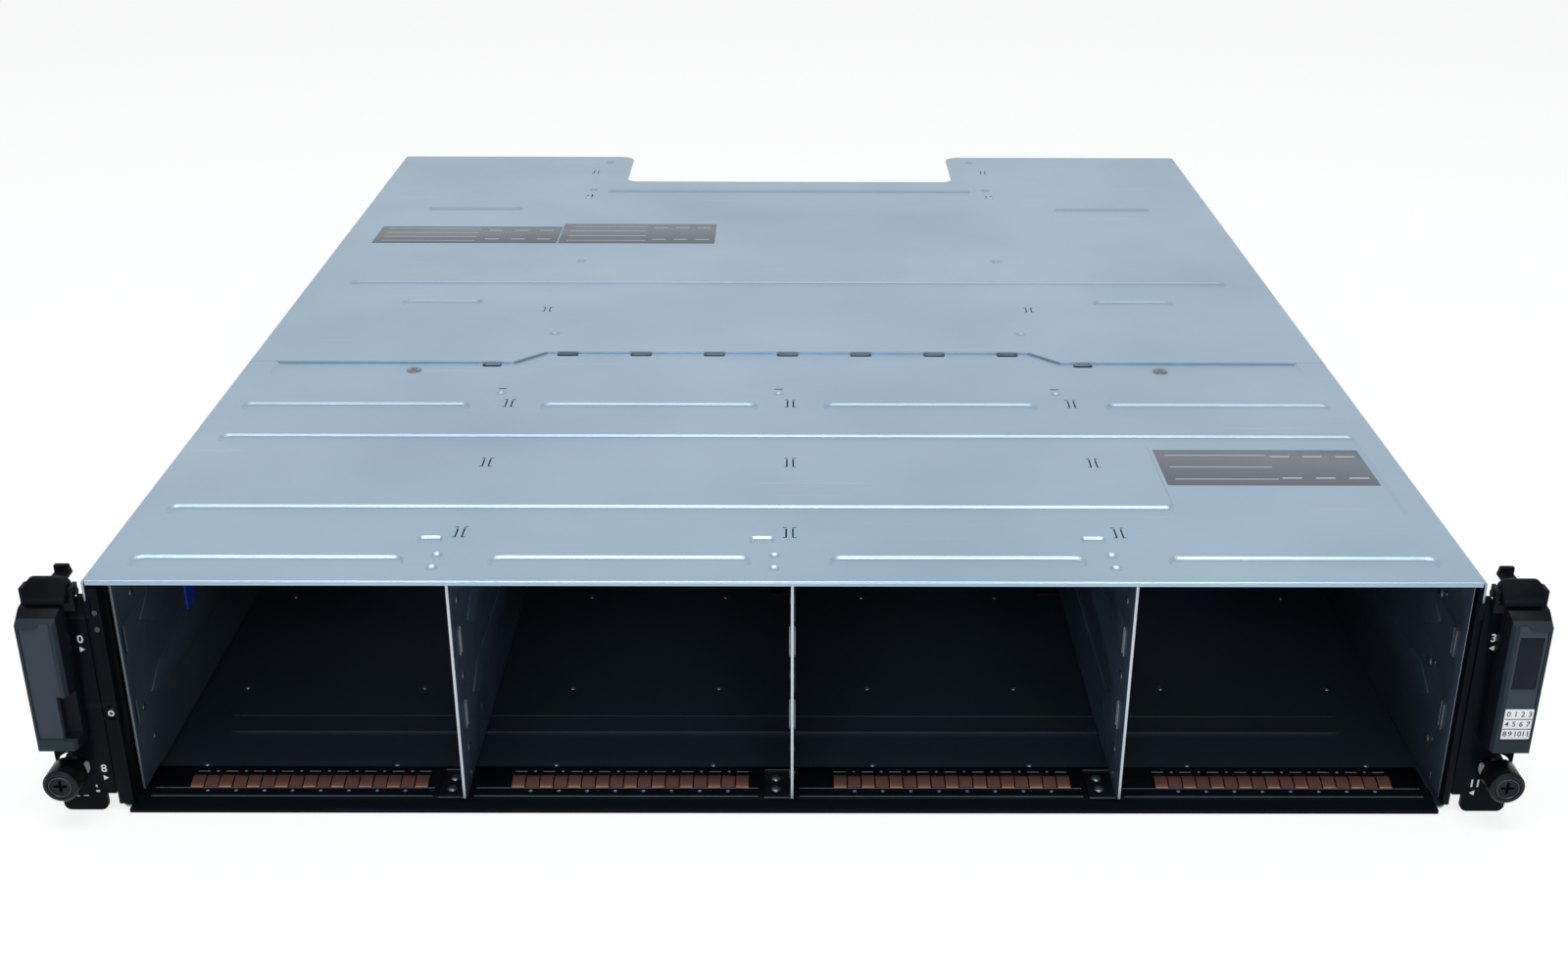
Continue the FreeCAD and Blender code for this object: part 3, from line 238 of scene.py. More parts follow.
def eased(node, name, body, slot, finish, width, degrees=30):
    """A copy of a CAD node with its sharp edges rounded, shown in the node's place."""
    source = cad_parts[node]
    piece = bpy.data.objects.new(name, source.data.copy())
    bpy.context.scene.collection.objects.link(piece)
    piece.matrix_world = source.matrix_world
    only(piece)
    bpy.ops.object.transform_apply(location=True, rotation=True, scale=True)
    bpy.ops.object.mode_set(mode="EDIT")
    bpy.ops.mesh.select_all(action="SELECT")
    bpy.ops.mesh.remove_doubles(threshold=weld)
    bpy.ops.mesh.dissolve_limited(angle_limit=radians(1))
    bpy.ops.mesh.normals_make_consistent(inside=False)
    bpy.ops.object.mode_set(mode="OBJECT")
    round_edges(piece, width, degrees)
    return settle(piece, name, body, slot, finish, node)


def dressed(nodes, finish):
    """Gives CAD nodes their finish."""
    for node in nodes:
        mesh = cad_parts[node].data
        mesh.materials.clear()
        mesh.materials.append(finish)


# bare zinc outside; inside, a dark blue grey with a soft sheen, painted shade where little light
# falls
tray_zinc_with_painted_shade = coated_surface("zinc_tray_painted_shade_inside", "8A9AA6", "7B8B97", 0.75, 0.42, 0.5, 0.02,
                           inside=(0.2219, -0.2628, 0.0007, 0.2, "4A5966"))
dressed(["base_tray"], tray_zinc_with_painted_shade)

floor_marks = []
for x in (-201.6, -135.4, -80.0, -25.1, 30.3, 85.2, 140.3, 202.9):
    for y in (26.5, 78.0, 149.8):
        floor_marks.append(dome(x, y, 0.8, 1.3, 0.6))
# bright steel on raised spots, a painted highlight against the floor's painted shade; on the ledge
# screws it is their bare steel
bare_steel_and_painted_highlight = coated_surface("bare_steel_and_painted_highlight", "8F9CA6", "6F7C86", 0.9, 0.3, 0.4, 0.01)
settle(joined(floor_marks), "floor_dimples", "chassis", "black_steel", bare_steel_and_painted_highlight)

# a painted highlight: a bright line along the far wall of the long bead
bead_highlight_line = block(-201.0, 201.0, 56.9, 57.25, 1.6, 1.68)
settle(bead_highlight_line, "floor_bead_painted_highlight", "chassis", "black_steel", bare_steel_and_painted_highlight)


# ------------------------------------------------------------------ front sill
# A strip of folded steel, powder coated black, across the foot of the opening.  It is spot welded
# to the tray and has one low rib on which the drive carriers slide.

# satin black paint with a fine orange peel that breaks up its highlights
black_paint = coated_surface("black_powder_coat", "0B1117", "080C11", 0.0, 0.4, 0.6, 0.03,
                             scuff=0.15, scuff_colour="343C42", gloss=0.04)
eased("front_sill", "front_sill_folded", "chassis", "black_steel", black_paint, 0.25)

# pale steel grey painted along the rib and tab edges and on the finger catches as highlights
edge_highlight_paint = coated_surface("painted_edge_highlight", "8496A3", "74848F", 0.2, 0.35, 0.4, 0.01)
divider_x = (-107.67, 2.3, 112.27)
rib_ends = [(-214.0, divider_x[0] - 11.5), (divider_x[0] + 2.5, divider_x[1] - 11.5),
            (divider_x[1] + 2.5, divider_x[2] - 11.5), (divider_x[2] + 2.5, 216.0)]
rib_lines = []
for x_low, x_high in rib_ends:
    for y in (4.9, 9.7):
        rib_lines.append(block(x_low, x_high, y - 0.12, y + 0.12, 2.38, 2.44))
settle(joined(rib_lines), "sill_rib_painted_highlight", "chassis", "black_steel", edge_highlight_paint)


# ------------------------------------------------------------------ dividers and guide plates
# Stamped steel walls between the drive columns, with guides, lanced slots and dimples pressed into
# them.  Their sides are painted dark as shade, their cut front edges are bare metal with a painted
# highlight, and foot tabs rivet them to the sill.

# sheet painted dark as the shade between the walls and darker at the foot as painted shade; its cut
# edge in front is bare metal with a painted highlight
divider_painted_shade_and_highlight = coated_surface("divider_painted_shade_and_highlight", "55677A", "435364", 0.4, 0.36, 0.6, 0.01,
                               inside=(0.3, -0.27, 0.0, 0.0026, "10171D"),
                               edge=(-0.26275, "C3CDD3"))
for number in (1, 2, 3):
    eased(f"divider_{number}", f"divider_wall_{number}", "chassis", "black_steel", divider_painted_shade_and_highlight,
          0.18)
# the guide plates are painted dark as shade, the right one darker, and their front edges carry
# painted highlights
left_plate_shade_and_highlight = coated_surface("left_plate_painted_shade_highlight", "55646F", "44525D", 0.4, 0.36, 0.6, 0.01,
                                  edge=(-0.25575, "77828A"))
eased("left_guide_plate", "left_guide_wall", "chassis", "black_steel", left_plate_shade_and_highlight, 0.15)
right_plate_shade_and_highlight = coated_surface("right_plate_painted_shade_highlight", "4A5966", "3A4853", 0.4, 0.36, 0.6, 0.01,
                                   edge=(-0.25995, "A5B1B9"))
eased("right_guide_plate", "right_guide_wall", "chassis", "black_steel", right_plate_shade_and_highlight, 0.15)



def lance_lip(x, facing, y, z, tall=9.8, rise=0.5, wide=0.32):
    """The raised lip of a lanced slot on a wall that looks to one side."""
    ends = sorted((x, x + facing * rise))
    return block(*ends, y - wide / 2, y + wide / 2, z - tall / 2, z + tall / 2, 0.08)


# the dimples and slot lips on the walls are coloured bright steel as painted highlights
face_marks = []
for x, facing in ((divider_x[0] + 0.5, 1), (divider_x[1] + 0.5, 1), (divider_x[1] - 0.5, -1),
                  (divider_x[2] - 0.5, -1)):
    for z in (72.8, 44.4, 15.7):
        face_marks.append(dome(x, 14.3, z, 1.9, 0.5, (facing, 0, 0)))
    for y in (41.3, 91.5):
        face_marks.append(dome(x, y, 16.0, 1.7, 0.4, (facing, 0, 0)))
    # the lanced slots' lips
    for z in (58.2, 30.2):
        for y in (11.35, 13.65):
            face_marks.append(lance_lip(x, facing, y, z))
    face_marks.append(lance_lip(x, facing, 12.5, 6.1, 3.0, 0.4, 0.4))
settle(joined(face_marks), "divider_dimples", "chassis", "black_steel", bare_steel_and_painted_highlight)

left_wall = -217.1
right_wall = 220.7
# the dimples and slot lips on the guide plates are coloured bright steel as painted highlights
plate_marks = []
for y, z, radius in ((31.1, 66.8, 2.0), (26.3, 68.8, 0.9), (22.3, 14.8, 2.0), (17.7, 17.4, 0.9),
                     (31.1, 40.4, 2.0), (26.3, 42.6, 0.9)):
    plate_marks.append(dome(right_wall, y, z, radius, radius * 0.3, (-1, 0, 0)))
for y, z in ((11.35, 58.2), (13.65, 58.2), (11.35, 30.2), (13.65, 30.2)):
    plate_marks.append(lance_lip(right_wall, -1, y, z))
plate_marks.append(block(right_wall - 0.4, right_wall, 13.0, 13.4, 3.9, 7.0, 0.08))
for y, z, radius in ((18.9, 28.7, 1.3), (24.0, 70.0, 1.5), (24.0, 14.0, 1.5)):
    plate_marks.append(dome(left_wall, y, z, radius, radius * 0.3, (1, 0, 0)))
settle(joined(plate_marks), "guide_plate_dimples", "chassis", "black_steel", bare_steel_and_painted_highlight)


def choose(piece, test, kind="EDGE"):
    """Leaves the rim edges or the faces of a piece that pass a test selected, in edit mode."""
    only(piece)
    bpy.ops.object.mode_set(mode="EDIT")
    bpy.ops.mesh.select_mode(type=kind)
    bpy.ops.mesh.select_all(action="DESELECT")
    bpy.ops.object.mode_set(mode="OBJECT")
    if kind == "EDGE":
        shared = {}
        for face in piece.data.polygons:
            for key in face.edge_keys:
                shared[key] = shared.get(key, 0) + 1
        for edge in piece.data.edges:
            ends = [piece.data.vertices[v].co * 1000 for v in edge.vertices]
            edge.select = shared.get(edge.key, 0) == 1 and test(*ends)
    else:
        for face in piece.data.polygons:
            face.select = test(face.center * 1000, face.normal)
    bpy.ops.object.mode_set(mode="EDIT")


# only a spot of 1 mm stands on each guide's face, where a band of 156 by 11.2 mm was meant
# dark sheets laid on the guides' faces as painted shade
bands = []
for z in (58.4, 30.4):
    for x in (-216.48, divider_x[0] + 1.12, divider_x[1] + 1.12):
        bpy.ops.object.select_all(action="DESELECT")
        bpy.ops.mesh.primitive_plane_add(size=0.001, location=at(x, 106.0, z),
                                         rotation=(pi / 2, 0, pi / 2))
        bands.append(bpy.context.object)
        bpy.ops.object.transform_apply(location=True, rotation=True, scale=True)
# blackened steel on the latch pins; on the guide faces the same dark colour is painted shade
black_pins_and_painted_shade = coated_surface("black_pin_steel_and_painted_shade", "070B0F", "05080B", 0.1, 0.5, 0.6, 0.01, gloss=0.2)
settle(joined(bands), "guide_painted_shade", "chassis", "black_steel", black_pins_and_painted_shade)

# the rivet heads are bare steel with a painted highlight; the lines along the tab edges are painted
# highlights
rivets = []
tab_edges = []
for x in divider_x:
    for y in (9.4, 15.8):
        rivets.append(dome(x - 5.5, y, 2.4, 1.75, 0.7))
    for y in (4.15, 20.8):
        tab_edges.append(block(x - 9.4, x - 0.6, y - 0.12, y + 0.12, 2.38, 2.46))
settle(joined(rivets), "foot_tab_rivets", "chassis", "bright_steel", bare_steel_and_painted_highlight)
settle(joined(tab_edges), "foot_tab_edges", "chassis", "bright_steel", edge_highlight_paint)


# ------------------------------------------------------------------ finger strips
# Strips of copper alloy fingers, stamped and bowed, that ground the drive carriers.  Every other
# finger is set a little prouder, and its lip carries a painted highlight.

def bowed_finger(x, lift):
    """One finger: a narrow sheet drawn forward from its root over a crest to a turned-down lip."""
    bpy.ops.object.select_all(action="DESELECT")
    bpy.ops.mesh.primitive_plane_add(size=0.001, location=at(x, 17.9, 1.9))
    piece = bpy.context.object
    piece.scale = (finger_wide, 1.2, 1)
    bpy.ops.object.transform_apply(location=True, rotation=True, scale=True)
    path = ((17.3, 1.9), (16.9, 2.5), (16.5, 2.9 + lift), (16.0, 3.0 + lift), (15.0, 2.9 + lift),
            (13.2, 2.35 + lift), (11.8, 1.85 + lift), (11.3, 1.65))
    for (y, z), (next_y, next_z) in zip(path, path[1:]):
        choose(piece, lambda a, b: max(a.y, b.y) < y - front_edge + 0.01)
        bpy.ops.mesh.extrude_region_move(
            TRANSFORM_OT_translate={"value": (0, (next_y - y) / 1000, (next_z - z) / 1000)})
        bpy.ops.object.mode_set(mode="OBJECT")
    sheet = piece.modifiers.new("sheet", "SOLIDIFY")
    sheet.thickness = 0.0002
    only(piece)
    bpy.ops.object.modifier_apply(modifier=sheet.name)
    return smoothed(piece, 40)


finger_wide = 4.3
finger_step = 4.78
fingers = 17
# brown tarnished copper alloy, and a pale copy of it painted on the lips as a highlight
copper_spring = coated_surface("copper_alloy_spring", "714B3E", "5E3F33", 0.4, 0.42, 0.5, 0.01)
copper_lip_highlight = coated_surface("copper_alloy_lip_highlight", "E3A98E", "CC937A", 0.2, 0.35, 0.5, 0.01)
master_fingers = [bowed_finger(0.0, 0.12), bowed_finger(0.0, 0.0)]
for column, start in enumerate((-202.8, -93.37, 16.6, 126.57), start=1):
    end = start + finger_step * (fingers - 1) + finger_wide
    root = block(start, end, 17.6, 23.4, 1.62, 1.92, 0.1)
    settle(root, f"finger_root_{column}", "chassis", "black_steel", black_paint)
    strip = []
    lips = []
    dots = []
    for number in range(fingers):
        middle = start + finger_step * number + finger_wide / 2
        finger = master_fingers[number % 2].copy()
        finger.data = finger.data.copy()
        finger.location.x = middle / 1000
        bpy.context.scene.collection.objects.link(finger)
        strip.append(finger)
        if number % 2:
            dots.append(dome(middle, 8.0, 2.4, 0.6, 0.2))
            dots.append(dome(middle, 20.4, 1.95, 0.5, 0.25))
        else:
            lips.append(block(middle - 2.1, middle + 2.1, 11.0, 11.4, 1.66, 1.98, 0.08))
            dots.append(block(middle - 2.0, middle + 2.0, 20.1, 20.45, 1.9, 2.05))
    settle(joined(strip), f"finger_row_{column}", "chassis", "copper_spring", copper_spring,
           f"finger_strip_{column}")
    settle(joined(lips), f"finger_lips_{column}", "chassis", "copper_spring", copper_lip_highlight)
    # the catches are coloured pale steel grey as painted highlights
    settle(joined(dots), f"finger_catches_{column}", "chassis", "black_steel", edge_highlight_paint)
for finger in master_fingers:
    bpy.data.objects.remove(finger)


# ------------------------------------------------------------------ midplane and its connectors
# The glass fibre board across the middle of the enclosure, with its moulded receptacles.

solder_mask = coated_surface("green_solder_mask", "123026", "0D251D", 0.0, 0.35, 0.8, 0.01)
connector_plastic = coated_surface("connector_plastic", "15171A", "101215", 0.0, 0.5, 0.3, 0.01)
dressed(["midplane_board", "front_panel_board"], solder_mask)
dressed([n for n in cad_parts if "connector" in n], connector_plastic)
# the frame deep inside is painted dark as shade
midplane_frame_shade_paint = coated_surface("midplane_frame_painted_shade", "2A343D", "202A32", 0.4, 0.36, 0.6, 0.01)
dressed(["midplane_frame"], midplane_frame_shade_paint)


# ------------------------------------------------------------------ rear cage
# Zinc coated walls and a shelf that part the rear into four module bays.

zinc_inner = coated_surface("zinc_coated_cage", "8A9AA6", "7B8B97", 0.75, 0.42, 0.5, 0.02)
dressed(["rear_partition_left", "rear_partition_right", "controller_shelf"], zinc_inner)


# ------------------------------------------------------------------ covers
# Two roofs of zinc coated sheet with folded sides.  Beads pressed into them stiffen them, and the
# rear one laps over a sunk ledge of the front one.

def flat_sheet(loops, level, name, turn=0.53):
    """A level sheet from an outline and the openings in it, each a list of points.  It is filled
    while turned, as the fill leaves slivers where many points share one depth."""
    curve = bpy.data.curves.new(name, "CURVE")
    curve.dimensions = "2D"
    curve.fill_mode = "BOTH"
    for loop in loops:
        spline = curve.splines.new("POLY")
        spline.points.add(len(loop) - 1)
        for point, (x, y) in zip(spline.points, loop):
            y = y - front_edge
            point.co = (x * cos(turn) - y * sin(turn), x * sin(turn) + y * cos(turn), 0, 1)
        spline.use_cyclic_u = True
    piece = bpy.data.objects.new(name, curve)
    bpy.context.scene.collection.objects.link(piece)
    only(piece)
    bpy.ops.object.convert(target="MESH")
    piece = bpy.context.object
    piece.scale = (0.001, 0.001, 0.001)
    piece.rotation_euler.z = -turn
    piece.location.z = level / 1000
    bpy.ops.object.transform_apply(location=True, rotation=True, scale=True)
    bpy.ops.object.mode_set(mode="EDIT")
    bpy.ops.mesh.select_all(action="SELECT")
    bpy.ops.mesh.quads_convert_to_tris(quad_method="BEAUTY", ngon_method="BEAUTY")
    bpy.ops.object.mode_set(mode="OBJECT")
    return piece


def round_corner(points, radius, steps=5):
    """Rounds the corners of an outline; a point's third value, if given, is its own radius."""
    done = []
    for index, point in enumerate(points):
        here = Vector(point[:2])
        reach = point[2] if len(point) > 2 else radius
        if not reach:
            done.append(tuple(here))
            continue
        before = (Vector(points[index - 1][:2]) - here).normalized()
        after = (Vector(points[(index + 1) % len(points)][:2]) - here).normalized()
        half = before.angle(after) / 2
        inward = (before + after).normalized()
        cut = reach / tan(half)
        centre = here + inward * (reach / sin(half))
        first = here + before * cut - centre
        last = here + after * cut - centre
        turn = first.angle_signed(last)
        for step in range(steps + 1):
            angle = -turn * step / steps
            done.append((centre.x + first.x * cos(angle) - first.y * sin(angle),
                         centre.y + first.x * sin(angle) + first.y * cos(angle)))
    # where two arcs meet they share one point
    return [here for here, before in zip(done, done[-1:] + done[:-1]) if dist(here, before) > 0.05]


def bead_loop(x_low, x_high, y, radius, steps=12):
    """The outline of a bead with round ends."""
    loop = []
    for centre, start in ((x_high - radius, -pi / 2), (x_low + radius, pi / 2)):
        for step in range(steps + 1):
            angle = start + pi * step / steps
            loop.append((centre + radius * cos(angle), y + radius * sin(angle)))
    return loop


def round_loop(x, y, radius, steps=16):
    """The outline of a round dimple."""
    turns = [2 * pi * step / steps for step in range(steps)]
    return [(x + radius * cos(turn), y + radius * sin(turn)) for turn in turns]


def lance_loops(x, y, high=8.0, gap=1.7, slit=0.55, hook=1.4):
    """A pair of bracket shaped slits, back to back, beside a lanced bridge."""
    loops = []
    for side in (-1, 1):
        near = x + side * gap / 2
        far = near + side * slit
        tip = near + side * hook
        loops.append([(near, y - high / 2), (tip, y - high / 2), (tip, y - high / 2 + slit),
                      (far, y - high / 2 + slit), (far, y + high / 2 - slit),
                      (tip, y + high / 2 - slit), (tip, y + high / 2), (near, y + high / 2)])
    return loops


def slot_loop(x, y, long, wide):
    """The outline of a short slot with rounded corners."""
    corners = [(x - long / 2, y - wide / 2), (x + long / 2, y - wide / 2),
               (x + long / 2, y + wide / 2), (x - long / 2, y + wide / 2)]
    return round_corner(corners, wide * 0.35, 3)


def pressed_roof(name, outline, pressings, holes, top, slopes):
    """A level sheet with every pressing sunk by the same rounded slope."""
    sheet = flat_sheet([outline] + pressings + holes, top, name)
    dents = [flat_sheet([loop], top, f"{name}_pressing") for loop in pressings]
    dents = joined(dents)
    only(dents)
    bpy.ops.object.mode_set(mode="EDIT")
    bpy.ops.mesh.select_mode(type="FACE")
    bpy.ops.mesh.select_all(action="SELECT")
    bpy.ops.mesh.dissolve_faces()
    bpy.ops.mesh.select_all(action="SELECT")
    for inward, down in slopes:
        bpy.ops.mesh.inset(use_individual=True, thickness=inward / 1000, depth=-down / 1000,
                           use_even_offset=True)
    bpy.ops.object.mode_set(mode="OBJECT")
    return merged([sheet, dents])


def fold_down(piece, test, centre, axis, drop, steps=5):
    """Folds the chosen rim down about an axis and draws it on as a flange."""
    choose(piece, test)
    bpy.ops.mesh.spin(steps=steps, angle=pi / 2, center=centre, axis=axis)
    bpy.ops.mesh.extrude_region_move(TRANSFORM_OT_translate={"value": (0, 0, -drop / 1000)})
    bpy.ops.object.mode_set(mode="OBJECT")


def thickened(piece, thickness):
    """Gives a sheet its thickness below and shades it."""
    only(piece)
    bpy.ops.object.mode_set(mode="EDIT")
    bpy.ops.mesh.select_all(action="SELECT")
    bpy.ops.mesh.remove_doubles(threshold=weld)
    bpy.ops.mesh.normals_make_consistent(inside=False)
    bpy.ops.object.mode_set(mode="OBJECT")
    widest = max(piece.data.polygons, key=lambda face: face.area)
    if widest.normal.z < 0:
        bpy.ops.object.mode_set(mode="EDIT")
        bpy.ops.mesh.select_all(action="SELECT")
        bpy.ops.mesh.flip_normals()
        bpy.ops.object.mode_set(mode="OBJECT")
    solid = piece.modifiers.new("sheet", "SOLIDIFY")
    solid.thickness = thickness / 1000
    solid.offset = -1
    bpy.ops.object.modifier_apply(modifier=solid.name)
    return piece


def pierced(piece, test, openings):
    """Puts openings into the one level face of a sheet that passes a test."""
    face = next(face for face in piece.data.polygons if test(face.center * 1000, face.area * 1e6))
    spot = face.center * 1000
    rim = [piece.data.vertices[corner].co * 1000 for corner in face.vertices]
    choose(piece, lambda centre, normal: (centre - spot).length < 0.001, "FACE")
    bpy.ops.mesh.delete(type="ONLY_FACE")
    bpy.ops.object.mode_set(mode="OBJECT")
    loops = [[(corner.x, corner.y + front_edge) for corner in rim]] + openings
    return merged([piece, flat_sheet(loops, rim[0].z, "pierced_face")])


def merged(pieces):
    """Sheets joined along the points that they share."""
    whole = joined(pieces)
    bpy.ops.object.mode_set(mode="EDIT")
    bpy.ops.mesh.select_all(action="SELECT")
    bpy.ops.mesh.remove_doubles(threshold=2 * weld)
    bpy.ops.object.mode_set(mode="OBJECT")
    return whole


def sheet_shading(piece):
    """Shades pressed sheet so that its wide flats stay flat and only its slopes turn smoothly."""
    smoothed(piece, 60)
    weighted = piece.modifiers.new("shading", "WEIGHTED_NORMAL")
    weighted.keep_sharp = True
    weighted.weight = 100
    bpy.ops.object.modifier_apply(modifier=weighted.name)
    return piece


half_width = 223.15
roof_level = 86.8
sheet_mm = 0.72
fold = 1.6
flange_high = 12.0
slopes = ((0.3, 0.08), (0.75, 0.64), (0.3, 0.08))

# bluish grey zinc with faint clouds, a fine grain and light rub marks; it mirrors light softly
zinc_cover = coated_surface("zinc_coated_cover", "AAC2D4", "9DB5C8", 0.8, 0.38, 0.5, 0.015,
                            patch_mm=90, scuff=0.3)
bead_radius = 4.3
pressings = []
bead_ends = ((-212.7, -123.0), (-96.6, -10.7), (13.9, 98.2), (123.9, 212.7))
for y in (14.2, 146.2):
    for x_low, x_high in bead_ends:
        pressings.append(bead_loop(x_low, x_high, y, bead_radius))
for x in divider_x:
    pad = [(x - 14.6, 27), (x - 5.6, 27), (x - 5.6, 33), (x - 14.6, 33)]
    pressings.append(round_corner(pad, 1.8, 4))
    for y in (9.6, 18.6):
        pressings.append(round_loop(x - 5.9, y, 2.3))
    pressings.append(round_loop(x - 5.7, 160.0, 2.4))
field = round_corner([(-212.7, 48.4, 4.3), (213.2, 48.4, 3), (213.2, 119.0, 3),
                      (-212.7, 119.0, 4.3), (-212.7, 110.4, 4.3), (133.0, 110.4, 1.5),
                      (133.0, 57.0, 1.5), (-212.7, 57.0, 4.3)], 0, 6)
pressings.append(field)
ledge = round_corner([(-211.15, 217.3, 0), (-211.15, 179.0, 3), (-112.0, 179.0, 3),
                      (-98.0, 195.5, 3), (98.0, 195.5, 3), (112.0, 179.0, 3), (211.15, 179.0, 3),
                      (211.15, 217.3, 0)], 0, 5)
pressings.append(ledge)
holes = []
for x in divider_x:
    for y in (35.4, 92.8, 149.5):
        holes += lance_loops(x - 1.0, y)
    holes.append(slot_loop(x - 5.7, 164.6, 3.4, 0.9))
side = half_width - fold
outline = [(-side, 1.0), (side, 1.0), (side, 218.6), (-side, 218.6)]
front_cover = pressed_roof("front_cover_sheet", outline, pressings, holes, roof_level, slopes)
ledge_slots = [slot_loop(step * 30.7, 205.4, 9.0, 3.4) for step in range(-3, 4)]
for x in (-122.0, 122.0):
    ledge_slots.append(slot_loop(x, 193.0, 8.0, 3.6))
front_cover = pierced(front_cover, lambda centre, area: centre.y > -85 and area > 5000, ledge_slots)
# the C shaped field is parted where its arms begin, and the sheet at the seam
only(front_cover)
bpy.ops.object.mode_set(mode="EDIT")
for place, direction in (((131.0, 0, 0), (1, 0, 0)), ((0, 195.0, 0), (0, 1, 0))):
    bpy.ops.mesh.select_all(action="SELECT")
    bpy.ops.mesh.bisect(plane_co=at(*place), plane_no=direction)
bpy.ops.object.mode_set(mode="OBJECT")
seam_y = 195.0 - front_edge


def behind_the_seam(centre, _):
    """Whether a face of the front cover lies under the rear one."""
    beside = abs(centre.x) > 209.7 and centre.y > seam_y
    return (beside or centre.y > 215.9 - front_edge) and centre.z > roof_level - 0.795


choose(front_cover, behind_the_seam, "FACE")
bpy.ops.mesh.delete(type="FACE")
bpy.ops.object.mode_set(mode="OBJECT")
fold_down(front_cover, lambda a, b: max(a.x, b.x) < -side + 0.01,
          (-side / 1000, 0, (roof_level - fold) / 1000), (0, 1, 0), flange_high - fold)
fold_down(front_cover, lambda a, b: min(a.x, b.x) > side - 0.01 and min(a.z, b.z) > 86.0,
          (side / 1000, 0, (roof_level - fold) / 1000), (0, -1, 0), flange_high - fold)
fold_down(front_cover, lambda a, b: max(a.y, b.y) < 1.01 - front_edge and min(a.z, b.z) > 86.79,
          at(0, 1.0, roof_level - 1.0), (-1, 0, 0), 0.6)
thickened(front_cover, sheet_mm)
sheet_shading(front_cover)
settle(front_cover, "front_cover_sheet", "chassis", "galvanised_steel", zinc_cover, "front_cover")

rear_pressings = [bead_loop(-204.2, 204.2, 297.2, bead_radius),
                  bead_loop(-99.0, 99.0, 454.7, bead_radius)]
for centre, long, y in ((165.0, 51.0, 420.0), (156.0, 37.5, 270.0)):
    for middle in (-centre, centre):
        rear_pressings.append(bead_loop(middle - long / 2, middle + long / 2, y, bead_radius, 8))
for x, y in ((100.0, 331.5), (100.5, 229.3), (106.8, 458.0), (103.0, 517.0)):
    for across in (-x, x):
        rear_pressings.append(round_loop(across, y, 2.8))
rear_holes = []
for x, y in ((109.0, 495.0), (107.4, 444.4), (107.5, 260.7)):
    for across in (-x, x):
        rear_holes += lance_loops(across, y, 6.0)
rear_outline = round_corner([
    (-side, 195.2, 0), (-113.0, 195.2, 2), (-101.0, 207.0, 2), (101.0, 207.0, 2), (113.0, 195.2, 2),
    (side, 195.2, 0), (side, 529.0, 0), (90.0, 529.0, 8), (90.0, 475.5, 6), (-90.0, 475.5, 6),
    (-90.0, 529.0, 8), (-side, 529.0, 0)], 0, 6)
rear_cover = pressed_roof("rear_cover_sheet", rear_outline, rear_pressings, rear_holes,
                          roof_level, slopes)
fold_down(rear_cover, lambda a, b: max(a.x, b.x) < -side + 0.01,
          (-side / 1000, 0, (roof_level - fold) / 1000), (0, 1, 0), flange_high - fold)
fold_down(rear_cover, lambda a, b: min(a.x, b.x) > side - 0.01,
          (side / 1000, 0, (roof_level - fold) / 1000), (0, -1, 0), flange_high - fold)
thickened(rear_cover, sheet_mm)
sheet_shading(rear_cover)
settle(rear_cover, "rear_cover_sheet", "chassis", "galvanised_steel", zinc_cover, "rear_cover")


# ------------------------------------------------------------------ cover screws and labels
# Two flat steel screws with a dab of red locking paint hold the ledge, and three printed film
# labels, here without words, lie on the roof.

def disc(x, y, z_low, z_high, radius, ease=0.0):
    """A short upright cylinder."""
    bpy.ops.object.select_all(action="DESELECT")
    bpy.ops.mesh.primitive_cylinder_add(vertices=32, radius=radius / 1000,
                                        depth=(z_high - z_low) / 1000,
                                        location=at(x, y, (z_low + z_high) / 2))
    piece = bpy.context.object
    bpy.ops.object.transform_apply(location=True, rotation=True, scale=True)
    if ease:
        round_edges(piece, ease)
    return piece


screw_heads = []
paint_dabs = []
for x in (-153.0, 153.0):
    screw_heads.append(disc(x, 187.0, 85.8, 86.25, 3.1, 0.15))
    screw_heads.append(disc(x, 187.0, 86.2, 86.4, 2.0, 0.08))
    paint_dabs.append(disc(x, 187.0, 86.35, 86.45, 0.95, 0.04))
settle(joined(screw_heads), "ledge_screws", "chassis", "bright_steel", bare_steel_and_painted_highlight)
# a thick dab of dull red paint
locking_paint = coated_surface("red_locking_paint", "8C3A34", "74302B", 0.0, 0.5, 0.3, 0.02)
settle(joined(paint_dabs), "screw_paint_dabs", "chassis", "black_steel", locking_paint)

labels = []
prints = []
for x_low, x_high, y_low, y_high in ((-207.0, -115.4, 360.0, 388.0), (-114.8, -37.0, 360.0, 393.0)):
    labels.append(block(x_low, x_high, y_low, y_high, 86.79, 86.9, 0.04))
    wide = x_high - x_low
    for share in (0.14, 0.38, 0.62, 0.86):
        y = y_low + (y_high - y_low) * share
        prints.append(block(x_low + 4, x_low + wide * 0.55, y - 0.35, y + 0.35, 86.88, 86.91))
    for share in (0.64, 0.78, 0.92):
        x = x_low + wide * share
        prints.append(block(x - 3.4, x + 3.4, y_low + 6, y_low + 7, 86.88, 86.91))
        prints.append(block(x - 3.4, x + 3.4, y_high - 7, y_high - 6, 86.88, 86.91))
labels.append(block(135.4, 211.0, 75.5, 106.5, 85.99, 86.1, 0.04))
for y in (80.5, 91.0, 101.5):
    prints.append(block(139.0, 176.0, y - 0.3, y + 0.3, 86.08, 86.11))
for x in (181.0, 193.0, 205.0):
    prints.append(block(x - 3.5, x + 3.5, 81.0, 82.0, 86.08, 86.11))
    prints.append(block(x - 3.5, x + 3.5, 100.0, 101.0, 86.08, 86.11))
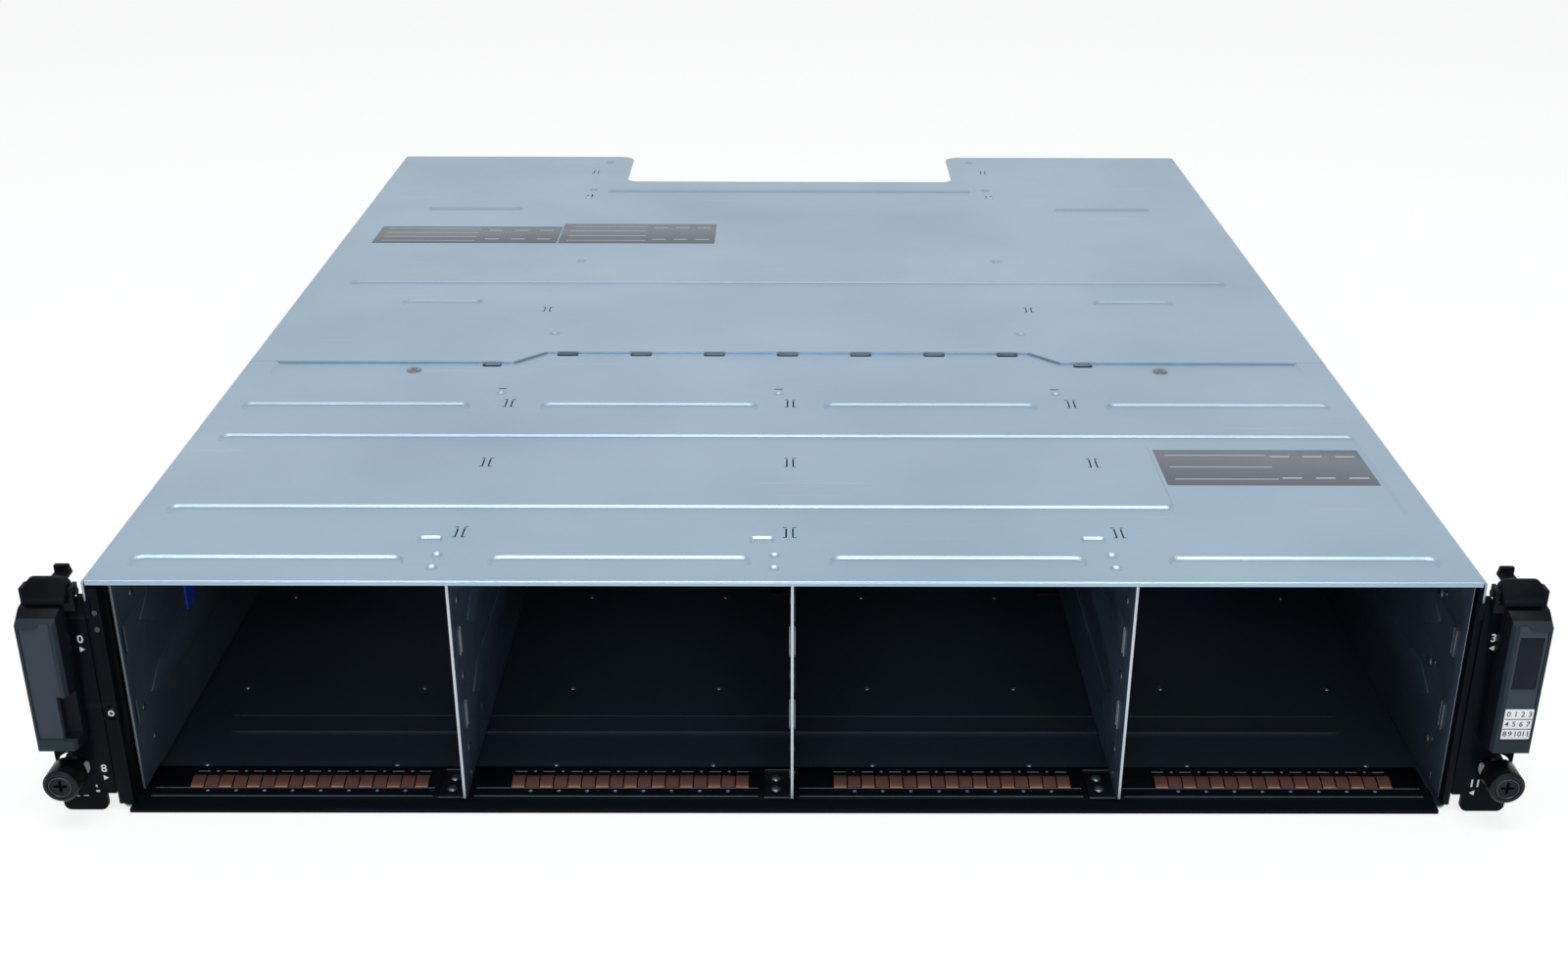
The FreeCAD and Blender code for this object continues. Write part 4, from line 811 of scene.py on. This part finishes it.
# smooth grey printed film, a little glossier than the zinc
label_film = coated_surface("grey_label_film", "59636B", "525C64", 0.0, 0.35, 0.6, 0.005)
settle(joined(labels), "roof_labels", "chassis", "grey_panel", label_film)
pale_print = coated_surface("pale_print", "AEB8BF", "A4AEB5", 0.0, 0.4, 0.5, 0.003)
settle(joined(prints), "roof_label_rules", "chassis", "grey_panel", pale_print)


# ------------------------------------------------------------------ side trims and front controls
# Moulded strips that close the gaps at the front of the side walls.  The left one holds two light
# pipes and the slide switch; its card and flat cable stand behind it.

# satin moulded black plastic with a spark-eroded grain
black_mould = coated_surface("black_moulded_plastic", "0C1117", "090D12", 0.0, 0.4, 0.3, 0.03,
                             scuff=0.1, scuff_colour="30353B", gloss=0.05)
eased("left_side_trim", "left_trim_moulding", "chassis", "black_plastic", black_mould, 0.2)
eased("right_side_trim", "right_trim_moulding", "chassis", "black_plastic", black_mould, 0.25)
fillers = [block(-222.25, -218.6, 0.9, 8.0, 72.0, 84.0, 0.2),
           block(221.6, 222.25, 0.9, 4.0, 72.0, 84.0, 0.1)]
# thin lips that stand in front of the covers' folded sides
fillers += [block(-side - 1.5, -side + 0.5, -0.3, -0.05, 73.5, 79.5),
            block(side - 0.5, side + 1.5, -0.3, -0.05, 73.5, 79.5)]
settle(joined(fillers), "trim_fillers", "chassis", "black_plastic", black_mould)
# smooth dark grey plastic, a little lighter than the trim round it
grey_mould = coated_surface("grey_moulded_plastic", "42474D", "393E43", 0.0, 0.5, 0.3, 0.01)
eased("mode_switch", "mode_switch_slider", "mode_switch", "grey_switch", grey_mould, 0.15)
# clear plastic light pipes, unlit and so dull grey
lens_plastic = coated_surface("lens_plastic", "34393E", "2D3237", 0.0, 0.25, 0.3, 0.005)
dressed(["status_lens_upper", "status_lens_lower"], lens_plastic)
# soft grey jacket of the flat cable
cable_jacket = coated_surface("grey_cable_jacket", "8A8D90", "7C7F82", 0.0, 0.55, 0.6, 0.02)
dressed(["front_panel_cable"], cable_jacket)
# saturated blue polyester film with a gloss
blue_film = coated_surface("blue_film", "1E50D8", "1A44BE", 0.0, 0.3, 0.5, 0.005)
dressed(["cable_pull_tab"], blue_film)


# ------------------------------------------------------------------ ears
# The rack flanges, folded from steel and powder coated, with their moulded covers.  Each face has a
# sunk panel; the right one carries a slot chart of plain numbers.

# zinc plate painted almost white as a reflection, the brightest thing behind the screw heads
clip_painted_reflection = coated_surface("zinc_plate_painted_reflection", "F0F2F4", "E0E3E6", 0.1, 0.3, 0.4, 0.005)
# black plastic, and a dark teal grey on the front face
housing_mould = coated_surface("dark_grey_plastic", "10151B", "0C1015", 0.0, 0.4, 0.3, 0.03,
                               edge=(-0.2725, "273238"), gloss=0.1)
for side in ("left", "right"):
    eased(f"{side}_ear_bracket", f"{side}_flange", "chassis", "black_steel", black_paint, 0.3)
    eased(f"{side}_screw_clip", f"{side}_clip_plate", "chassis", "bright_steel", clip_painted_reflection, 0.15)
    eased(f"{side}_ear_housing", f"{side}_ear_cover", "chassis", "black_plastic", housing_mould,
          0.35, 20)
# blue grey film with a fine matt grain
panel_film = coated_surface("panel_film", "38424D", "323B45", 0.0, 0.45, 0.5, 0.01, gloss=0.15)
eased("left_ear_panel", "left_ear_panel_film", "chassis", "grey_panel", panel_film, 0.12)
eased("right_ear_panel", "right_ear_panel_film", "chassis", "grey_panel", panel_film, 0.12)
# a dark glossy window over the empty tag field
dark_gloss = coated_surface("dark_glossy_film", "161C27", "121821", 0.0, 0.3, 0.5, 0.003, gloss=0.1)
tag = block(232.1, 239.8, -9.42, -9.3, 53.4, 72.2, 0.05)
settle(tag, "right_tag_window", "chassis", "grey_panel", dark_gloss)
# white printed film
white_film = coated_surface("white_label_film", "E4E7EA", "DADDE1", 0.0, 0.35, 0.5, 0.003)
chart = block(231.5, 240.9, -9.82, -9.66, 34.9, 46.1, 0.07)
settle(chart, "slot_chart", "chassis", "grey_panel", white_film)


def lettering(words, x, y, z, height, weight):
    """Flat characters on a face that looks to the front."""
    bpy.ops.object.select_all(action="DESELECT")
    bpy.ops.object.text_add(location=at(x, y, z), rotation=(pi / 2, 0, 0))
    piece = bpy.context.object
    piece.data.body = words
    piece.data.align_x = "CENTER"
    piece.data.align_y = "CENTER"
    piece.data.size = height * 1.4 / 1000
    piece.data.resolution_u = 3
    piece.data.offset = weight / 1000
    bpy.ops.object.convert(target="MESH")
    piece = bpy.context.object
    bpy.ops.object.transform_apply(location=True, rotation=True, scale=True)
    return piece


chart_ink = -9.83
row_step = 3.7
chart_marks = []
for row, places in enumerate(((232.8, 235.1, 237.4, 239.7), (232.7, 235.0, 237.3, 239.6),
                              (232.6, 234.3, 236.7, 239.3))):
    for column, x in enumerate(places):
        number = str(row * 4 + column)
        chart_marks.append(lettering(number, x, chart_ink, 44.2 - row * row_step, 1.9, 0.04))
for z in (42.4, 38.7):
    chart_marks.append(block(231.7, 240.7, -9.84, -9.825, z - 0.15, z + 0.15))
# black ink on the white film
black_ink = coated_surface("black_ink", "1B1D20", "17191C", 0.0, 0.5, 0.5, 0.003)
settle(joined(chart_marks), "slot_chart_numbers", "chassis", "grey_panel", black_ink)


flange_ink = -0.03


def arrow(x, z, heading, side=1.15):
    """A small printed triangle that points towards the bays."""
    bpy.ops.object.select_all(action="DESELECT")
    bpy.ops.mesh.primitive_circle_add(vertices=3, radius=side / 1000, fill_type="NGON",
                                      location=at(x, flange_ink, z),
                                      rotation=(pi / 2, heading * pi / 2, 0))
    piece = bpy.context.object
    bpy.ops.object.transform_apply(location=True, rotation=True, scale=True)
    return piece


slider = bpy.data.objects["mode_switch_slider"]
face = min(corner.co.y for corner in slider.data.vertices)
low = min(corner.co.z for corner in slider.data.vertices)
middle = sum(corner.co.x for corner in slider.data.vertices) / len(slider.data.vertices)
bpy.ops.object.select_all(action="DESELECT")
bpy.ops.mesh.primitive_torus_add(major_radius=0.00085, minor_radius=0.00022, major_segments=32,
                                 minor_segments=8, location=(middle, face, low + 0.0012),
                                 rotation=(pi / 2, 0, 0))
switch_ring = bpy.context.object
flange_marks = []
# each bay row's first or last slot number and, below it, its arrow
for number, x, z, arrow_x, arrow_z, heading in (
        ("0", -226.1, 65.5, -226.2, 61.9, 1), ("8", -226.1, 16.4, -226.1, 12.9, 1),
        ("3", 227.7, 66.7, 227.9, 63.1, -1), ("11", 230.4, 11.1, 230.1, 7.5, -1)):
    flange_marks.append(lettering(number, x, flange_ink, z, 2.9, 0.07))
    flange_marks.append(arrow(arrow_x, arrow_z, heading))
# opaque white ink, slightly worn
white_ink = coated_surface("white_ink", "E2E5E7", "C4C8CA", 0.0, 0.5, 0.4, 0.003)
settle(joined(flange_marks), "flange_numbers", "chassis", "black_steel", white_ink)
settle(switch_ring, "mode_switch_ring", "mode_switch", "grey_switch", white_ink)


# ------------------------------------------------------------------ latch levers
# Moulded spring latches on steel pins between the housings' cheeks.  Each is a sloped tab with a
# lip for the finger and a hook behind that holds the shelf in its rack.

for side in ("left", "right"):
    eased(f"{side}_latch_lever", f"{side}_latch_tab", f"{side}_latch", "black_plastic",
          black_mould, 0.3, 20)
dressed(["left_latch_pin", "right_latch_pin"], black_pins_and_painted_shade)


# ------------------------------------------------------------------ thumbscrews
# Captive screws with turned, blackened heads that stand in front of wide holes in the flanges.
# Round the left hole the paint is rubbed through in a few places.

# blackened zinc: dark, faintly metallic, with soft highlights on the turned rings
black_zinc = coated_surface("black_zinc_screw", "121417", "0D0F12", 0.2, 0.32, 0.3, 0.01,
                            edge=(-0.2765, "1C2228"), gloss=0.12)
# a lighter grey painted on the rings of the heads as highlights
ring_painted_highlight = coated_surface("ring_painted_highlight", "454D54", "394148", 0.2, 0.3, 0.3, 0.005)
for side in ("left", "right"):
    eased(f"{side}_thumbscrew", f"{side}_thumbscrew_turned", f"{side}_thumbscrew", "black_screw",
          black_zinc, 0.15)
# two turned rings on each head, coloured as painted highlights; the outer one lies just under the
# face
for side in ("left", "right"):
    screw = bpy.data.objects[f"{side}_thumbscrew_turned"]
    face = min(corner.co.y for corner in screw.data.vertices)
    low = [min(corner.co[axis] for corner in screw.data.vertices) for axis in (0, 2)]
    high = [max(corner.co[axis] for corner in screw.data.vertices) for axis in (0, 2)]
    radius = (high[0] - low[0]) / 2
    centre = ((low[0] + high[0]) / 2, face + 0.00017, (low[1] + high[1]) / 2)
    rings = []
    for share in (0.62, 0.86):
        bpy.ops.object.select_all(action="DESELECT")
        bpy.ops.mesh.primitive_torus_add(major_radius=radius * share, minor_radius=0.00016,
                                         major_segments=48, minor_segments=6, location=centre,
                                         rotation=(pi / 2, 0, 0))
        rings.append(bpy.context.object)
    settle(joined(rings), f"{side}_screw_rings", f"{side}_thumbscrew", "black_screw", ring_painted_highlight)
wear = []
for x, z, wide, high in ((-229.6, 9.6, 0.5, 0.9), (-229.4, 7.6, 1.2, 0.7), (-236.3, 5.6, 0.9, 0.3),
                         (-233.6, 5.8, 1.6, 0.3)):
    wear.append(block(x - wide / 2, x + wide / 2, -0.03, 0.02, z - high / 2, z + high / 2))
settle(joined(wear), "flange_wear", "chassis", "black_steel", white_ink)


# ------------------------------------------------------------------ floor, light and camera
# A pale studio floor under plain soft light, seen from in front and above.

bpy.ops.object.select_all(action="DESELECT")
bpy.ops.mesh.primitive_plane_add(size=12, location=(0, 0, -0.0002))
floor = bpy.context.object
floor.name = "studio_floor"
glow_share = 0.7  # how much of what the camera sees of the floor is its own light
paper = bpy.data.materials.new("white_paper")
paper.use_nodes = True
tree = paper.node_tree
tree.nodes.clear()
rays = add_node(tree, "ShaderNodeLightPath").outputs
seen = calculated(tree, "MAXIMUM", rays["Is Camera Ray"], rays["Is Glossy Ray"])
seen = calculated(tree, "MULTIPLY", seen, glow_share)
matt = add_node(tree, "ShaderNodeBsdfDiffuse", {"Color": hex_colour("F4F5F6")}).outputs[0]
glow = add_node(tree, "ShaderNodeEmission",
                {"Color": hex_colour("FFFFFF"), "Strength": 1.08}).outputs[0]
both = add_node(tree, "ShaderNodeMixShader", None, {0: seen, 1: matt, 2: glow}).outputs[0]
add_node(tree, "ShaderNodeOutputMaterial", None, {"Surface": both})
floor.data.materials.append(paper)
floor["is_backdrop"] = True

world = bpy.data.worlds.new("studio")
bpy.context.scene.world = world
world.use_nodes = True
tree = world.node_tree
tree.nodes.clear()
rays = add_node(tree, "ShaderNodeLightPath").outputs
sight = add_node(tree, "ShaderNodeTexCoord").outputs["Generated"]
heading = add_node(tree, "ShaderNodeSeparateXYZ", None, {"Vector": sight}).outputs
plain = add_node(tree, "ShaderNodeMapRange",
                 {"From Min": -0.3, "From Max": 0.9, "To Min": 0.36, "To Max": 0.86},
                 {"Value": heading["Y"]}).outputs[0]
level = calculated(tree, "MAXIMUM", plain, rays["Is Camera Ray"])
sky = add_node(tree, "ShaderNodeBackground", {"Color": hex_colour("FFFFFF")},
               {"Strength": level}).outputs[0]
add_node(tree, "ShaderNodeOutputWorld", None, {"Surface": sky})

for name, place, target, wide, high, power in (
        ("overhead_softbox", (0.0, -0.55, 1.6), (0, -0.05, 0.05), 1.6, 0.5, 14),
        ("front_softbox", (0.0, -1.5, 0.75), (0, -0.1, 0.02), 1.2, 0.4, 6)):
    light = bpy.data.lights.new(name, "AREA")
    light.shape = "RECTANGLE"
    light.size = wide
    light.size_y = high
    light.energy = power
    lamp = bpy.data.objects.new(name, light)
    bpy.context.scene.collection.objects.link(lamp)
    lamp.location = place
    lamp.rotation_euler = (Vector(target) - Vector(place)).to_track_quat("-Z", "Y").to_euler()

# the focal length, and where the camera's axis meets the picture, in 1600ths of its width
focal = 1852.28
axis_x, axis_y = 816.94, 488.89
picture_wide, picture_high = 1600, 992
lens = bpy.data.cameras.new("camera")
lens.sensor_width = 36.0
lens.lens = focal * 36.0 / picture_wide
lens.shift_x = -(axis_x - picture_wide / 2) / picture_wide
lens.shift_y = (axis_y - picture_high / 2) / picture_wide
camera = bpy.data.objects.new("camera", lens)
bpy.context.scene.collection.objects.link(camera)
pitch, yaw, roll = radians(24.53), radians(0.2336), radians(0.2013)
ahead = Vector((sin(yaw) * cos(pitch), cos(yaw) * cos(pitch), -sin(pitch)))
across = Vector((cos(yaw), -sin(yaw), 0))
above = across.cross(ahead)
right = across * cos(roll) + above * sin(roll)
upward = above * cos(roll) - across * sin(roll)
turned = Matrix((right, upward, -ahead)).transposed().to_4x4()
camera.matrix_world = Matrix.Translation(at(2.714, -508.87, 354.79)) @ turned
lens.clip_start = 0.01
bpy.context.scene.camera = camera
bpy.context.scene.view_settings.view_transform = "Standard"

low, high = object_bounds()
